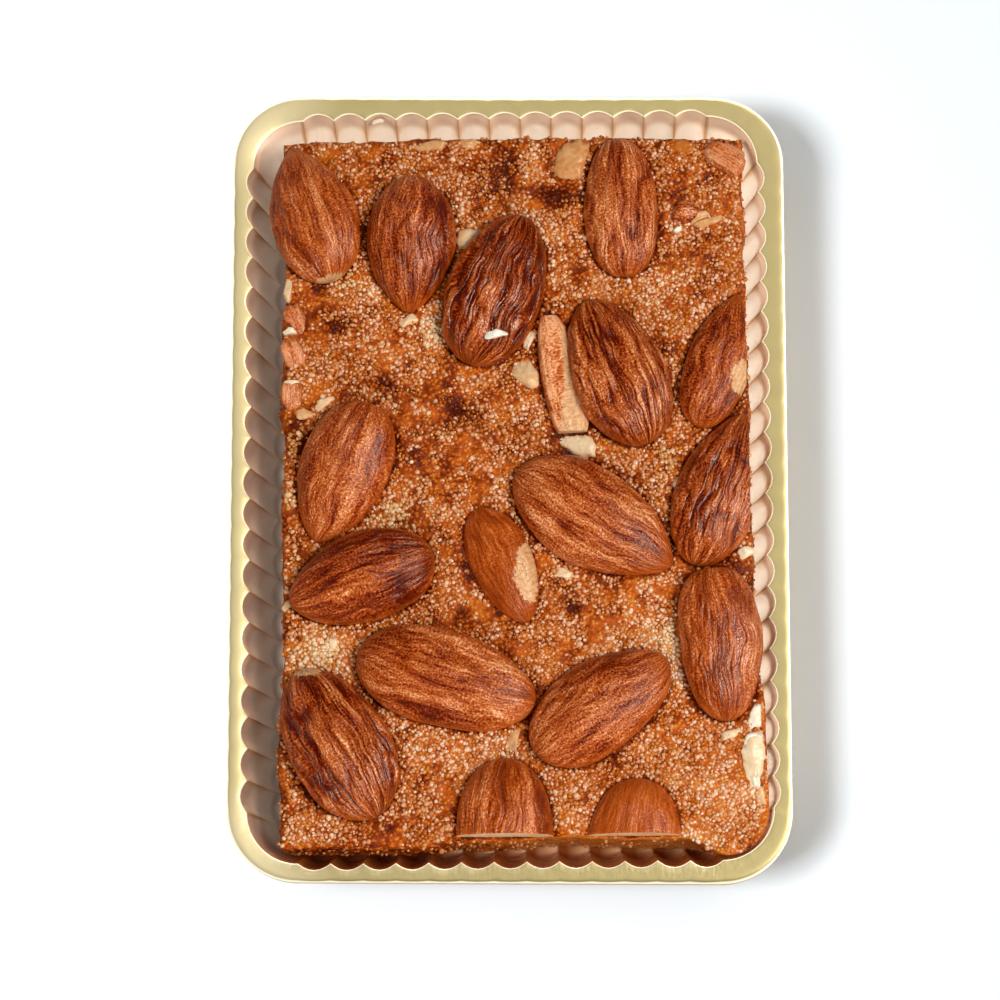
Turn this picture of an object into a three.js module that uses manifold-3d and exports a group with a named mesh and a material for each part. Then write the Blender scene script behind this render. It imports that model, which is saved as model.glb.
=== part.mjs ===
// Almond basema in its tray: a slab of syrupy semolina cake, set with whole and broken almonds,
// cut square and packed in a thin gold tray with fluted walls.
// Millimetres, +Z up, +X to the right, +Y to the back. The origin is the middle of the tray's
// underside, on the surface that the tray stands on.
import * as THREE from "three";
import { mergeVertices } from "three/addons/utils/BufferGeometryUtils.js";
import Module from "manifold-3d";

const wasm = await Module();
wasm.setup();

// Driving dimensions of the tray, inside its flutes' sharp edges
const TRAY_WIDTH = 65.0;
const TRAY_LENGTH = 96.2;
const TRAY_HEIGHT = 14.0;
const FLOOR = 0.5;
const CORNER_RADIUS = 6.2;
const FLUTES_SHORT = 13;
const FLUTES_LONG = 21;
const FLUTE_DEPTH = 0.85;
const FLUTE_STEPS = 3;
const FLUTE_TOP = 0.15;
const CORNER_STEPS = 5;
const WALL_DRAFT = 2.2;
const WALL_TOP = 13.5;
const RIM_WIDTH = 2.75;
const SKIRT = 1.6;
const SHEET = 0.45;

// The thin rim is bent a little out of true: it flares at the right, most of all at the back,
// stands further out at the back than at the front, is turned a little clockwise at both ends,
// and is turned up at the left.
const RIGHT_FLARE = 0.35;
const BACK_FLARE = 0.62;
const END_SHIFT = { front: -0.1, back: 0.4 };
const END_TURN = 0.0125;
const LEFT_LIFT = 0.5;

// Driving dimensions of the slab, which is level with the rim. The front edge slumps at the left
// and swells at the right-hand corner, where the right edge leans out to the tray's wall.
const SLAB_TOP = 13.8;
const SLAB_LEFT = -28.4;
const SLAB_RIGHT = 30.6;
const SLAB_BACK = 45.5;
const SLAB_FRONT = -45.1;
const FRONT_SLUMP = 1.0;
const FRONT_SWELL = 2.2;
const RIGHT_LEAN = 1.4;
const EDGE_RAGGED = 0.3;
const SLAB_CELL = 3.0;
const SLAB_RELIEF = 0.45;
const EDGE_DROP = 0.45;
const SIDE_SLOPE = 0.2;
const SIDE_RELIEF = 0.35;
const SIDE_ROWS = 2;

// Clearance between touching pieces. A hollow has fewer facets than the almond in it, so it is
// a little wider again.
const GAP = 0.3;
const HOLLOW_MARGIN = 0.3;
const WELD = 1e-4;

// Facets of an almond and of the hollow it lies in: rings along its length, points in a ring.
// It is widest a little behind its middle.
const ALMOND_FACETS = { rings: 8, around: 14 };
const HOLLOW_FACETS = { rings: 5, around: 10 };
const ALMOND_THICKNESS = 0.58;
const WIDEST = -0.1;
const RIDGE = 0.22;

// The almonds. heading is where the pointed end lies, anticlockwise from +X as seen from above,
// pitch lifts the pointed end, and roll lifts the side to the left of it. at is x, y and how far
// the middle of the almond stands above the slab, and size is length and width. The smaller tip
// and blunt are, the fuller are the pointed and the round end. The first in the list lie on top
// of the later ones, and cut names the slab's edge at which the knife went through.
const ALMONDS = {
  almond_09: { at: [10.9, -5.1, 0.5], size: [23.3, 12.8], heading: -32, roll: 4, blunt: 0.6 },
  almond_11: { at: [-18.5, -12.5, 0.7], size: [19.2, 11.5], heading: 199, roll: -6, tip: 0.6 },
  almond_05: { at: [14.1, 14.0, 0.4], size: [20.5, 12.2], heading: 112, roll: 5, tip: 0.55 },
  almond_03: { at: [-1.2, 25.0, 0.7], size: [20.9, 12.3], heading: 70, roll: 8, tip: 0.5 },
  almond_13: { at: [11.5, -29.0, 0.4], size: [20.4, 11.7], heading: 35, roll: -4, tip: 0.55 },
  almond_06: { at: [27.2, 15.4, 0.2], size: [18.4, 8.4], heading: 73, tip: 0.8, cut: "right" },
  almond_01: { at: [-25.1, 35.5, 0.5], size: [18.9, 11.4], heading: 106, roll: -4, tip: 0.85 },
  almond_02: { at: [-12.2, 31.3, 0.5], size: [18.3, 11.7], heading: -92, pitch: -4, blunt: 0.58 },
  almond_04: { at: [15.0, 36.0, 0.1], size: [18.7, 9.8], heading: 93, tip: 0.45, blunt: 0.45 },
  almond_08: { at: [26.5, -21.4, 0.6], size: [19.4, 10.5], heading: -86, roll: -4, tip: 0.45, blunt: 0.3 },
  almond_12: { at: [-7.9, -25.4, 0.4], size: [23.2, 12.3], heading: -16, roll: 3, tip: 0.5 },
  almond_14: { at: [-21.4, -33.4, 0.6], size: [21.0, 12.7], heading: 118, roll: 3, tip: 0.56, blunt: 0.55 },
  almond_07: { at: [26.9, -1.4, 0.3], size: [20.8, 10.6], heading: 71, cut: "right" },
  almond_10: { at: [-20.9, 1.2, 0.3], size: [19.1, 11.5], heading: -112, pitch: -6, tip: 0.66, blunt: 0.42 },
  almond_15: { at: [-0.6, -45.4, 0.2], size: [20.0, 12.0], heading: -90, cut: "front" },
  almond_16: { at: [15.1, -48.0, -0.6], size: [20.2, 11.9], heading: -98, blunt: 0.45, cut: "front" },
  almond_half: { at: [-0.8, -10.9, -0.5], size: [16.2, 8.2], heading: -66, roll: 10, tip: 0.6, blunt: 0.55 },
  almond_sliver: { at: [7.0, 13.9, -0.1], size: [17.1, 5.4], heading: 102, roll: 6, tip: 0.5, blunt: 0.25 },
};

// Broken bits as large as a berry, each with the outline of its widest level, its height above the
// slab, and how its top slopes up along X and Y.
const BITS = {
  chunk_back_right: {
    top: 1.3,
    slope: [0.1, 0.12],
    outline: [
      [25.3, 43.6], [26.9, 41.6], [29.9, 39.7], [31.0, 41.2],
      [31.0, 43.4], [29.2, 44.6], [26.6, 45.0],
    ],
  },
  chunk_brown: {
    top: 1.3,
    slope: [-0.15, 0.1],
    outline: [
      [21.6, 34.5], [23.0, 33.7], [24.8, 33.9], [26.0, 35.2],
      [24.6, 36.8], [22.8, 37.2], [21.6, 36.1],
    ],
  },
  chunk_left_upper: {
    top: 0.9,
    slope: [-0.2, 0.1],
    outline: [
      [-28.9, 22.0], [-27.2, 19.8], [-25.9, 18.5], [-25.4, 19.2],
      [-26.0, 22.4], [-26.9, 23.7], [-28.6, 23.3],
    ],
  },
  chunk_left_middle: {
    top: 1.0,
    slope: [-0.1, 0.05],
    outline: [
      [-29.0, 17.6], [-28.5, 15.8], [-26.7, 14.3], [-25.7, 15.6],
      [-26.1, 17.9], [-27.0, 19.0], [-28.6, 19.1],
    ],
  },
  chunk_left_lower: {
    top: 0.8,
    slope: [-0.1, 0.1],
    outline: [
      [-28.9, 10.8], [-27.9, 9.3], [-26.4, 10.0], [-26.0, 12.0],
      [-26.4, 13.2], [-28.0, 13.5], [-28.9, 12.6],
    ],
  },
  flesh_wedge: {
    top: 0.7,
    slope: [0.05, 0.1],
    outline: [
      [5.9, 5.4], [7.4, 3.9], [9.2, 3.0], [11.1, 2.9],
      [11.4, 4.1], [10.8, 5.8], [7.3, 5.9],
    ],
  },
  flesh_nugget: {
    top: 1.0,
    slope: [0.1, -0.15],
    outline: [
      [0.5, 14.0], [1.9, 12.7], [3.1, 11.9], [4.1, 12.3],
      [4.1, 14.2], [2.9, 15.8], [1.2, 15.7],
    ],
  },
  flesh_back: {
    top: 0.9,
    slope: [0.12, 0.0],
    outline: [
      [6.1, 41.4], [7.3, 40.1], [9.9, 39.9], [10.6, 42.4],
      [11.2, 44.9], [9.4, 45.4], [7.2, 44.5],
    ],
  },
  flesh_corner: {
    top: 0.5,
    slope: [0.1, 0.0],
    outline: [
      [29.1, -35.4], [29.3, -38.4], [29.9, -39.8], [31.3, -38.0],
      [31.9, -35.2], [31.3, -32.8], [29.9, -33.3],
    ],
  },
  nugget_tan: {
    top: 0.8,
    slope: [-0.05, 0.1],
    outline: [
      [-6.8, 32.0], [-6.2, 30.8], [-4.6, 30.6], [-3.0, 31.7],
      [-2.7, 32.9], [-4.6, 33.6], [-6.2, 33.4],
    ],
  },
};
const BIT_TAPER = 0.7;
const BIT_WAIST = 0.2;
const BIT_DEPTH = 1.6;

// Small chips, which are one with the slab
const CHIPS = [
  { at: [3.0, 18.7], size: [3.0, 1.6], heading: 62 },
  { at: [6.9, -12.2], size: [2.4, 1.5], heading: -20 },
  { at: [27.9, -32.7], size: [3.5, 1.7], heading: 18 },
  { at: [30.9, -30.4], size: [3.4, 1.9], heading: 84 },
  { at: [23.1, 44.0], size: [3.0, 2.4], heading: 0 },
  { at: [26.4, 33.9], size: [4.2, 1.3], heading: 16 },
  { at: [-12.4, 21.0], size: [2.6, 1.9], heading: 15 },
  { at: [-9.5, 44.6], size: [4.2, 1.7], heading: 4 },
  { at: [-4.6, 44.7], size: [3.6, 1.8], heading: -6 },
  { at: [-26.0, 9.0], size: [2.4, 1.5], heading: 10 },
  { at: [-28.0, 25.6], size: [3.2, 1.2], heading: 85 },
  { at: [-23.2, 10.4], size: [2.8, 1.4], heading: 35 },
  { at: [-18.0, -20.4], size: [2.8, 1.8], heading: 70 },
  { at: [0.8, -33.2], size: [3.4, 2.2], heading: 80 },
];
const CHIP_HEIGHT = 1.9;
const CHIP_LIFT = 0.1;
const CHIP_RAGGED = 0.16;
const CHIP_SQUARENESS = 0.45;

const SKIN_LIGHT = "#a4582c";
const SKIN_DARK = "#6e2c18";
const DARK_SKINS = ["almond_03", "almond_05", "almond_07", "almond_14"];
const FLESH = "#dcb48a";

function finish(name, geometry, color, roughness, metalness) {
  geometry.computeVertexNormals();
  const mesh = new THREE.Mesh(geometry, new THREE.MeshStandardMaterial({ color, roughness, metalness }));
  mesh.name = name;
  return mesh;
}

function facets(points, triangles) {
  const geometry = new THREE.BufferGeometry();
  geometry.setAttribute("position", new THREE.Float32BufferAttribute(points.flat(), 3));
  geometry.setIndex(triangles.flat());
  return geometry;
}

// A copy of a geometry in which the facets share their corners
function welded(geometry) {
  const bare = geometry.clone();
  bare.deleteAttribute("normal");
  bare.deleteAttribute("uv");
  return mergeVertices(bare, WELD);
}

function toSolid(geometry) {
  const merged = welded(geometry);
  const vertProperties = new Float32Array(merged.attributes.position.array);
  const triVerts = new Uint32Array(merged.index.array);
  return new wasm.Manifold(new wasm.Mesh({ numProp: 3, vertProperties, triVerts }));
}

function toGeometry(solid) {
  const mesh = solid.getMesh();
  const geometry = new THREE.BufferGeometry();
  geometry.setAttribute("position", new THREE.BufferAttribute(new Float32Array(mesh.vertProperties), 3));
  geometry.setIndex(new THREE.BufferAttribute(new Uint32Array(mesh.triVerts), 1));
  return geometry;
}

// The largest body of a solid that a cut may have left in several
function largestBody(solid) {
  const bodies = solid.decompose();
  return bodies.reduce((best, body) => (body.volume() > best.volume() ? body : best));
}

const smooth = THREE.MathUtils.smoothstep;
const mix = THREE.MathUtils.lerp;
const clamp = THREE.MathUtils.clamp;

// A repeatable random number from 0 to 1 for whole numbers i, j and k
function hash(i, j = 0, k = 0) {
  const wave = Math.sin(i * 127.1 + j * 311.7 + k * 74.7) * 43758.5453;
  return wave - Math.floor(wave);
}

// Smooth random bumps from -1 to 1, one for each unit of x and y
function bumps(x, y, seed) {
  const i = Math.floor(x);
  const j = Math.floor(y);
  const u = smooth(x - i, 0, 1);
  const v = smooth(y - j, 0, 1);
  const near = mix(hash(i, j, seed), hash(i + 1, j, seed), u);
  const far = mix(hash(i, j + 1, seed), hash(i + 1, j + 1, seed), u);
  return 2 * mix(near, far, v) - 1;
}

// Stations round the tray, anticlockwise from the front of its right wall: a point on the line of
// the flutes' sharp edges, the outward direction there, and how deep the flute is at that point.
function trayStations() {
  const stations = [];
  const sides = [
    { turn: 0, flutes: FLUTES_LONG, out: TRAY_WIDTH / 2, half: TRAY_LENGTH / 2 - CORNER_RADIUS },
    { turn: 90, flutes: FLUTES_SHORT, out: TRAY_LENGTH / 2, half: TRAY_WIDTH / 2 - CORNER_RADIUS },
    { turn: 180, flutes: FLUTES_LONG, out: TRAY_WIDTH / 2, half: TRAY_LENGTH / 2 - CORNER_RADIUS },
    { turn: 270, flutes: FLUTES_SHORT, out: TRAY_LENGTH / 2, half: TRAY_WIDTH / 2 - CORNER_RADIUS },
  ];
  for (const { turn, flutes, out, half } of sides) {
    const angle = THREE.MathUtils.degToRad(turn);
    const outward = new THREE.Vector2(Math.cos(angle), Math.sin(angle));
    const along = new THREE.Vector2(-outward.y, outward.x);
    const steps = flutes * FLUTE_STEPS;
    for (let step = 0; step <= steps; step += 1) {
      const phase = (step % FLUTE_STEPS) / FLUTE_STEPS;
      const point = outward.clone().multiplyScalar(out);
      point.addScaledVector(along, mix(-half, half, step / steps));
      stations.push({ point, outward, depth: FLUTE_DEPTH * (1 - (2 * phase - 1) ** 2) });
    }
    const centre = outward.clone().multiplyScalar(out - CORNER_RADIUS).addScaledVector(along, half);
    for (let step = 1; step < CORNER_STEPS; step += 1) {
      const bend = angle + (step / CORNER_STEPS) * (Math.PI / 2);
      const direction = new THREE.Vector2(Math.cos(bend), Math.sin(bend));
      const point = centre.clone().addScaledVector(direction, CORNER_RADIUS);
      stations.push({ point, outward: direction, depth: 0 });
    }
  }
  return stations;
}

// How far the outer edge of the rim is bent out of true beside a point of the tray's outline
function rimBend(point) {
  const across = point.x / (TRAY_WIDTH / 2);
  const along = point.y / (TRAY_LENGTH / 2);
  const flare = Math.max(0, across) * (RIGHT_FLARE + BACK_FLARE * along);
  const shift = mix(END_SHIFT.front, END_SHIFT.back, (along + 1) / 2) - END_TURN * point.x;
  return new THREE.Vector3(flare, shift, LEFT_LIFT * Math.max(0, -across));
}

// The tray's sheet, from the middle of its floor up the fluted wall, over the rounded rim, down
// the skirt and back underneath
function trayGeometry() {
  const stations = trayStations();
  const rows = [
    { out: -WALL_DRAFT, z: FLOOR, fluted: true },
    { out: FLUTE_TOP, z: WALL_TOP, fluted: true },
    { out: 0.5 * RIM_WIDTH, z: TRAY_HEIGHT, fluted: false },
    { out: 0.96 * RIM_WIDTH, z: TRAY_HEIGHT - 0.2, fluted: false },
    { out: RIM_WIDTH, z: TRAY_HEIGHT - SKIRT, fluted: false },
    { out: RIM_WIDTH - SHEET, z: TRAY_HEIGHT - SKIRT, fluted: false },
    { out: 0.57 * RIM_WIDTH, z: TRAY_HEIGHT - 1.3 * SHEET, fluted: false },
    { out: FLUTE_TOP + SHEET, z: WALL_TOP - 0.7 * SHEET, fluted: true },
    { out: -WALL_DRAFT + SHEET, z: 0, fluted: true },
  ];
  const points = [];
  const triangles = [];
  for (const { out, z, fluted } of rows) {
    for (const { point, outward, depth } of stations) {
      const place = point.clone().addScaledVector(outward, out + (fluted ? depth : 0));
      const bend = rimBend(point).multiplyScalar(Math.max(0, out / RIM_WIDTH));
      points.push([place.x + bend.x, place.y + bend.y, z + bend.z]);
    }
  }
  const count = stations.length;
  for (let row = 0; row + 1 < rows.length; row += 1) {
    for (let i = 0; i < count; i += 1) {
      const a = row * count + i;
      const b = row * count + ((i + 1) % count);
      triangles.push([a, a + count, b], [b, a + count, b + count]);
    }
  }
  const floorMiddle = points.push([0, 0, FLOOR]) - 1;
  const underMiddle = points.push([0, 0, 0]) - 1;
  const lastRow = (rows.length - 1) * count;
  for (let i = 0; i < count; i += 1) {
    const next = (i + 1) % count;
    triangles.push([floorMiddle, i, next], [underMiddle, lastRow + next, lastRow + i]);
  }
  return facets(points, triangles);
}

// The nearest place inside the tray's walls at height z that keeps a gap to them
function insideTray(x, y, z, gap) {
  const inset = WALL_DRAFT * (1 - clamp((z - FLOOR) / (WALL_TOP - FLOOR), 0, 1)) + gap;
  const halfWidth = TRAY_WIDTH / 2 - inset;
  const halfLength = TRAY_LENGTH / 2 - inset;
  const radius = CORNER_RADIUS - inset;
  let px = clamp(x, -halfWidth, halfWidth);
  let py = clamp(y, -halfLength, halfLength);
  const cornerX = Math.sign(px) * (TRAY_WIDTH / 2 - CORNER_RADIUS);
  const cornerY = Math.sign(py) * (TRAY_LENGTH / 2 - CORNER_RADIUS);
  const dx = px - cornerX;
  const dy = py - cornerY;
  const reach = Math.hypot(dx, dy);
  if (dx * Math.sign(px) > 0 && dy * Math.sign(py) > 0 && reach > radius) {
    px = cornerX + (dx * radius) / reach;
    py = cornerY + (dy * radius) / reach;
  }
  return [px, py];
}

// The slab's four cut edges
const ragged = (along, seed) => EDGE_RAGGED * bumps(along / 5, 0, seed);
const slabLeft = (y) => SLAB_LEFT + ragged(y, 11);
const slabRight = (y) => SLAB_RIGHT + RIGHT_LEAN * (1 - smooth(y, -30, -18)) + ragged(y, 12);
const slabBack = (x) => SLAB_BACK + ragged(x, 13);
function slabFront(x) {
  const slump = FRONT_SLUMP * (1 - smooth(x, -11, -7));
  const swell = FRONT_SWELL * smooth(x, 21, 26);
  return SLAB_FRONT - slump - swell + ragged(x, 14);
}

function slabHeight(x, y) {
  const coarse = bumps(x / 7, y / 7, 21);
  const fine = bumps(x / 2.7, y / 2.7, 22);
  return SLAB_TOP + SLAB_RELIEF * (0.6 * coarse + 0.5 * fine);
}

function slabGeometry() {
  const columns = Math.round((SLAB_RIGHT - SLAB_LEFT) / SLAB_CELL);
  const lines = Math.round((SLAB_BACK - SLAB_FRONT) / SLAB_CELL);
  const points = [];
  const triangles = [];
  const topIndex = (i, j) => j * (columns + 1) + i;
  for (let j = 0; j <= lines; j += 1) {
    for (let i = 0; i <= columns; i += 1) {
      const straightX = mix(SLAB_LEFT, SLAB_RIGHT, i / columns);
      const straightY = mix(SLAB_FRONT, SLAB_BACK, j / lines);
      const x = mix(slabLeft(straightY), slabRight(straightY), i / columns);
      const y = mix(slabFront(straightX), slabBack(straightX), j / lines);
      const edge = i === 0 || j === 0 || i === columns || j === lines;
      const z = slabHeight(x, y) - (edge ? EDGE_DROP : 0);
      points.push([...insideTray(x, y, z, GAP), z]);
    }
  }
  for (let j = 0; j < lines; j += 1) {
    for (let i = 0; i < columns; i += 1) {
      const [a, b] = [topIndex(i, j), topIndex(i + 1, j)];
      const [c, d] = [topIndex(i + 1, j + 1), topIndex(i, j + 1)];
      triangles.push([a, b, c], [a, c, d]);
    }
  }
  let ring = [];
  for (let i = 0; i < columns; i += 1) ring.push(topIndex(i, 0));
  for (let j = 0; j < lines; j += 1) ring.push(topIndex(columns, j));
  for (let i = columns; i > 0; i -= 1) ring.push(topIndex(i, lines));
  for (let j = lines; j > 0; j -= 1) ring.push(topIndex(0, j));
  const rim = ring.map((index) => points[index]);
  const base = FLOOR + GAP;
  for (let row = 1; row <= SIDE_ROWS; row += 1) {
    const z = mix(SLAB_TOP - EDGE_DROP, base, row / SIDE_ROWS);
    const lower = rim.map(([x, y], n) => {
      const push = 1 + (SIDE_SLOPE + SIDE_RELIEF * bumps(n / 1.7, row * 1.3, 31)) / SLAB_RIGHT;
      return points.push([...insideTray(x * push, y * push, z, GAP), z]) - 1;
    });
    ring.forEach((a, n) => {
      const next = (n + 1) % ring.length;
      triangles.push([a, lower[n], ring[next]], [lower[n], lower[next], ring[next]]);
    });
    ring = lower;
  }
  const middle = points.push([0, 0, base]) - 1;
  ring.forEach((a, n) => triangles.push([middle, ring[(n + 1) % ring.length], a]));
  return facets(points, triangles);
}

// How wide an almond is at a place along it, from -1 at its round end to 1 at its pointed end
function almondOutline(place, tip, blunt) {
  if (place > WIDEST) {
    return (1 - ((place - WIDEST) / (1 - WIDEST)) ** 1.9) ** tip;
  }
  return (1 - ((WIDEST - place) / (1 + WIDEST)) ** 2.2) ** blunt;
}

// An almond lying along +X about its middle, with lengthwise ridges on top. grow thickens it all
// round, for the hollow that it lies in.
function almondGeometry({ size, tip = 0.72, blunt = 0.5 }, { rings, around }, grow) {
  const [length, width] = size;
  const halfLength = length / 2 + grow;
  const halfWidth = width / 2 + grow;
  const halfHeight = (width * ALMOND_THICKNESS) / 2 + grow;
  const points = [];
  const triangles = [];
  for (let ring = 1; ring <= rings; ring += 1) {
    const place = -Math.cos((Math.PI * ring) / (rings + 1));
    const outline = almondOutline(place, tip, blunt);
    for (let n = 0; n < around; n += 1) {
      const angle = (2 * Math.PI * (n + 0.5)) / around;
      const ridge = Math.sin(angle) > 0.3 ? RIDGE * (n % 2 ? 1 : -1) * outline : 0;
      const y = halfWidth * outline * Math.cos(angle);
      const z = (halfHeight * outline ** 0.85 + ridge) * Math.sin(angle);
      points.push([halfLength * place, y, z]);
    }
  }
  for (let ring = 0; ring + 1 < rings; ring += 1) {
    for (let n = 0; n < around; n += 1) {
      const a = ring * around + n;
      const b = ring * around + ((n + 1) % around);
      triangles.push([a, b, a + around], [b, b + around, a + around]);
    }
  }
  const roundEnd = points.push([-halfLength, 0, 0]) - 1;
  const pointedEnd = points.push([halfLength, 0, 0]) - 1;
  const lastRing = (rings - 1) * around;
  for (let n = 0; n < around; n += 1) {
    const next = (n + 1) % around;
    triangles.push([roundEnd, next, n], [pointedEnd, lastRing + n, lastRing + next]);
  }
  return facets(points, triangles);
}

// A broken bit where it lies: its outline at the waist, a smaller sloping top, and a point below
// that is sunk in the slab. grow thickens it all round.
function bitGeometry({ outline, top, slope }, grow) {
  const corners = outline.map(([x, y]) => new THREE.Vector2(x, y));
  const middle = corners.reduce((sum, corner) => sum.add(corner), new THREE.Vector2());
  middle.divideScalar(corners.length);
  const waist = corners.map((corner) => {
    const ray = corner.clone().sub(middle);
    return ray.setLength(ray.length() + grow).add(middle);
  });
  const points = waist.map(({ x, y }) => [x, y, SLAB_TOP - BIT_WAIST]);
  for (const corner of waist) {
    const { x, y } = corner.clone().lerp(middle, 1 - BIT_TAPER);
    const rise = slope[0] * (x - middle.x) + slope[1] * (y - middle.y);
    points.push([x, y, SLAB_TOP + top + rise + grow]);
  }
  const root = points.push([middle.x, middle.y, SLAB_TOP - BIT_DEPTH - grow]) - 1;
  const count = corners.length;
  const triangles = [];
  for (let n = 0; n < count; n += 1) {
    const next = (n + 1) % count;
    triangles.push([n, next, count + n], [next, count + next, count + n], [root, next, n]);
    if (n > 0 && n + 1 < count) triangles.push([count, count + n, count + n + 1]);
  }
  return facets(points, triangles);
}

// A small chip: a rounded block with ragged corners
function chipGeometry({ at, size }) {
  const geometry = welded(new THREE.IcosahedronGeometry(1, 0));
  const position = geometry.attributes.position;
  for (let n = 0; n < position.count; n += 1) {
    const corner = new THREE.Vector3().fromBufferAttribute(position, n);
    const ragged = 1 + CHIP_RAGGED * (2 * hash(n, Math.round(at[0] * 10), Math.round(at[1] * 10)) - 1);
    const square = Math.max(Math.abs(corner.x), Math.abs(corner.y), Math.abs(corner.z)) ** -CHIP_SQUARENESS;
    corner.multiplyScalar((ragged * square) / 2);
    position.setXYZ(n, corner.x * size[0], corner.y * size[1], corner.z * CHIP_HEIGHT);
  }
  return geometry;
}

// Where a piece lies on the slab
function pose({ at, heading, pitch = 0, roll = 0 }, height) {
  const place = new THREE.Object3D();
  const radians = THREE.MathUtils.degToRad;
  place.rotation.set(radians(roll), radians(-pitch), radians(heading), "ZYX");
  place.position.set(at[0], at[1], height);
  place.updateMatrix();
  return place.matrix;
}

function block(lowX, highX, lowY, highY) {
  const geometry = new THREE.BoxGeometry(highX - lowX, highY - lowY, 2 * TRAY_HEIGHT);
  geometry.translate((lowX + highX) / 2, (lowY + highY) / 2, TRAY_HEIGHT);
  return toSolid(geometry);
}

// Every almond and broken bit as a solid where it lies, with the hollow that it needs round it
function laidPieces() {
  const beyond = {
    right: block(SLAB_RIGHT, TRAY_WIDTH, -TRAY_LENGTH, TRAY_LENGTH),
    front: block(-TRAY_WIDTH, TRAY_WIDTH, -TRAY_LENGTH, SLAB_FRONT),
  };
  const pieces = [];
  for (const [name, almond] of Object.entries(ALMONDS)) {
    const matrix = pose(almond, SLAB_TOP + almond.at[2]);
    let solid = toSolid(almondGeometry(almond, ALMOND_FACETS, 0).applyMatrix4(matrix));
    if (almond.cut) solid = solid.subtract(beyond[almond.cut]);
    const hollow = almondGeometry(almond, HOLLOW_FACETS, GAP + HOLLOW_MARGIN).applyMatrix4(matrix);
    pieces.push({ name, solid, hollow: toSolid(hollow) });
  }
  for (const [name, bit] of Object.entries(BITS)) {
    pieces.push({ name, solid: toSolid(bitGeometry(bit, 0)), hollow: toSolid(bitGeometry(bit, GAP)) });
  }
  pieces.forEach((piece, n) => {
    for (const upper of pieces.slice(0, n)) piece.solid = piece.solid.subtract(upper.hollow);
    piece.solid = largestBody(piece.solid);
  });
  return pieces;
}

function slabSolid(pieces) {
  let slab = toSolid(slabGeometry());
  for (const chip of CHIPS) {
    const matrix = pose(chip, slabHeight(chip.at[0], chip.at[1]) + CHIP_LIFT);
    slab = slab.add(toSolid(chipGeometry(chip).applyMatrix4(matrix)));
  }
  for (const piece of pieces) slab = slab.subtract(piece.hollow);
  return largestBody(slab);
}

function skinColor(name) {
  if (name.startsWith("flesh") || name.startsWith("nugget")) return FLESH;
  return DARK_SKINS.includes(name) ? SKIN_DARK : SKIN_LIGHT;
}

const basema = new THREE.Group();
const pieces = laidPieces();
basema.add(finish("tray", trayGeometry(), "#cdb878", 0.3, 0.9));
basema.add(finish("slab", toGeometry(slabSolid(pieces)), "#b9783c", 0.55, 0));
for (const { name, solid } of pieces) {
  basema.add(finish(name, toGeometry(solid), skinColor(name), 0.45, 0));
}

export default basema;
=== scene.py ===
"""The looks of an almond basema in its gold tray: a fluted tray of thin sheet, a cake of syrupy
grains, and almonds and broken bits set into its top. Sizes are millimetres until a mesh is made, and
the heights of bumps in a material are metres."""

import math

import bmesh
import bpy
import numpy as np
from mathutils import Matrix, Vector


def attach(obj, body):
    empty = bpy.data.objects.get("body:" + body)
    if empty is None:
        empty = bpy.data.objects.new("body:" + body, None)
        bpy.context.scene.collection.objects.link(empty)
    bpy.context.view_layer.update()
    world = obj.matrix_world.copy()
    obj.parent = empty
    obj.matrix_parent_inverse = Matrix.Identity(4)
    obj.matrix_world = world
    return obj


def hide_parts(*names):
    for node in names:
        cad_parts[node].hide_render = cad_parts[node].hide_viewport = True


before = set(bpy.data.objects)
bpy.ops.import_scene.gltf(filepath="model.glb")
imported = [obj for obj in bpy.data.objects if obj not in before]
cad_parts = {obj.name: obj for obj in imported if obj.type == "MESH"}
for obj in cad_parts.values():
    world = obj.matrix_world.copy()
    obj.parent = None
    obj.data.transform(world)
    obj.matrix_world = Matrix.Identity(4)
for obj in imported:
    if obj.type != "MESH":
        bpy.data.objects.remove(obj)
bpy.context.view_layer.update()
MM = 0.001

# The tray, inside its flutes' sharp edges, as in the solids
TRAY_WIDTH, TRAY_LENGTH, TRAY_HEIGHT = 65.0, 96.2, 14.0
FLOOR = 0.5
CORNER_RADIUS = 6.2
FLUTES_SHORT, FLUTES_LONG = 13, 21
FLUTE_DEPTH, FLUTE_TOP = 0.85, 0.15
WALL_DRAFT = 2.2
WALL_TOP = 13.5
RIM_WIDTH = 2.75
SKIRT = 1.6
SHEET = 0.45

# How the rim is bent out of true, as in the solids
RIGHT_FLARE, BACK_FLARE = 0.35, 0.62
FRONT_SHIFT, BACK_SHIFT, END_TURN = -0.1, 0.4, 0.0125
LEFT_LIFT = 0.5

# The slab, as in the solids
SLAB_TOP = 13.8
SLAB_LEFT, SLAB_RIGHT = -28.4, 30.6
SLAB_FRONT, SLAB_BACK = -45.1, 45.5
FRONT_SLUMP, FRONT_SWELL, RIGHT_LEAN = 1.0, 2.2, 1.4
EDGE_RAGGED = 0.3
SLAB_RELIEF = 0.45
EDGE_DROP = 0.5
GAP = 0.3
SLAB_BASE = FLOOR + GAP

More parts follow.
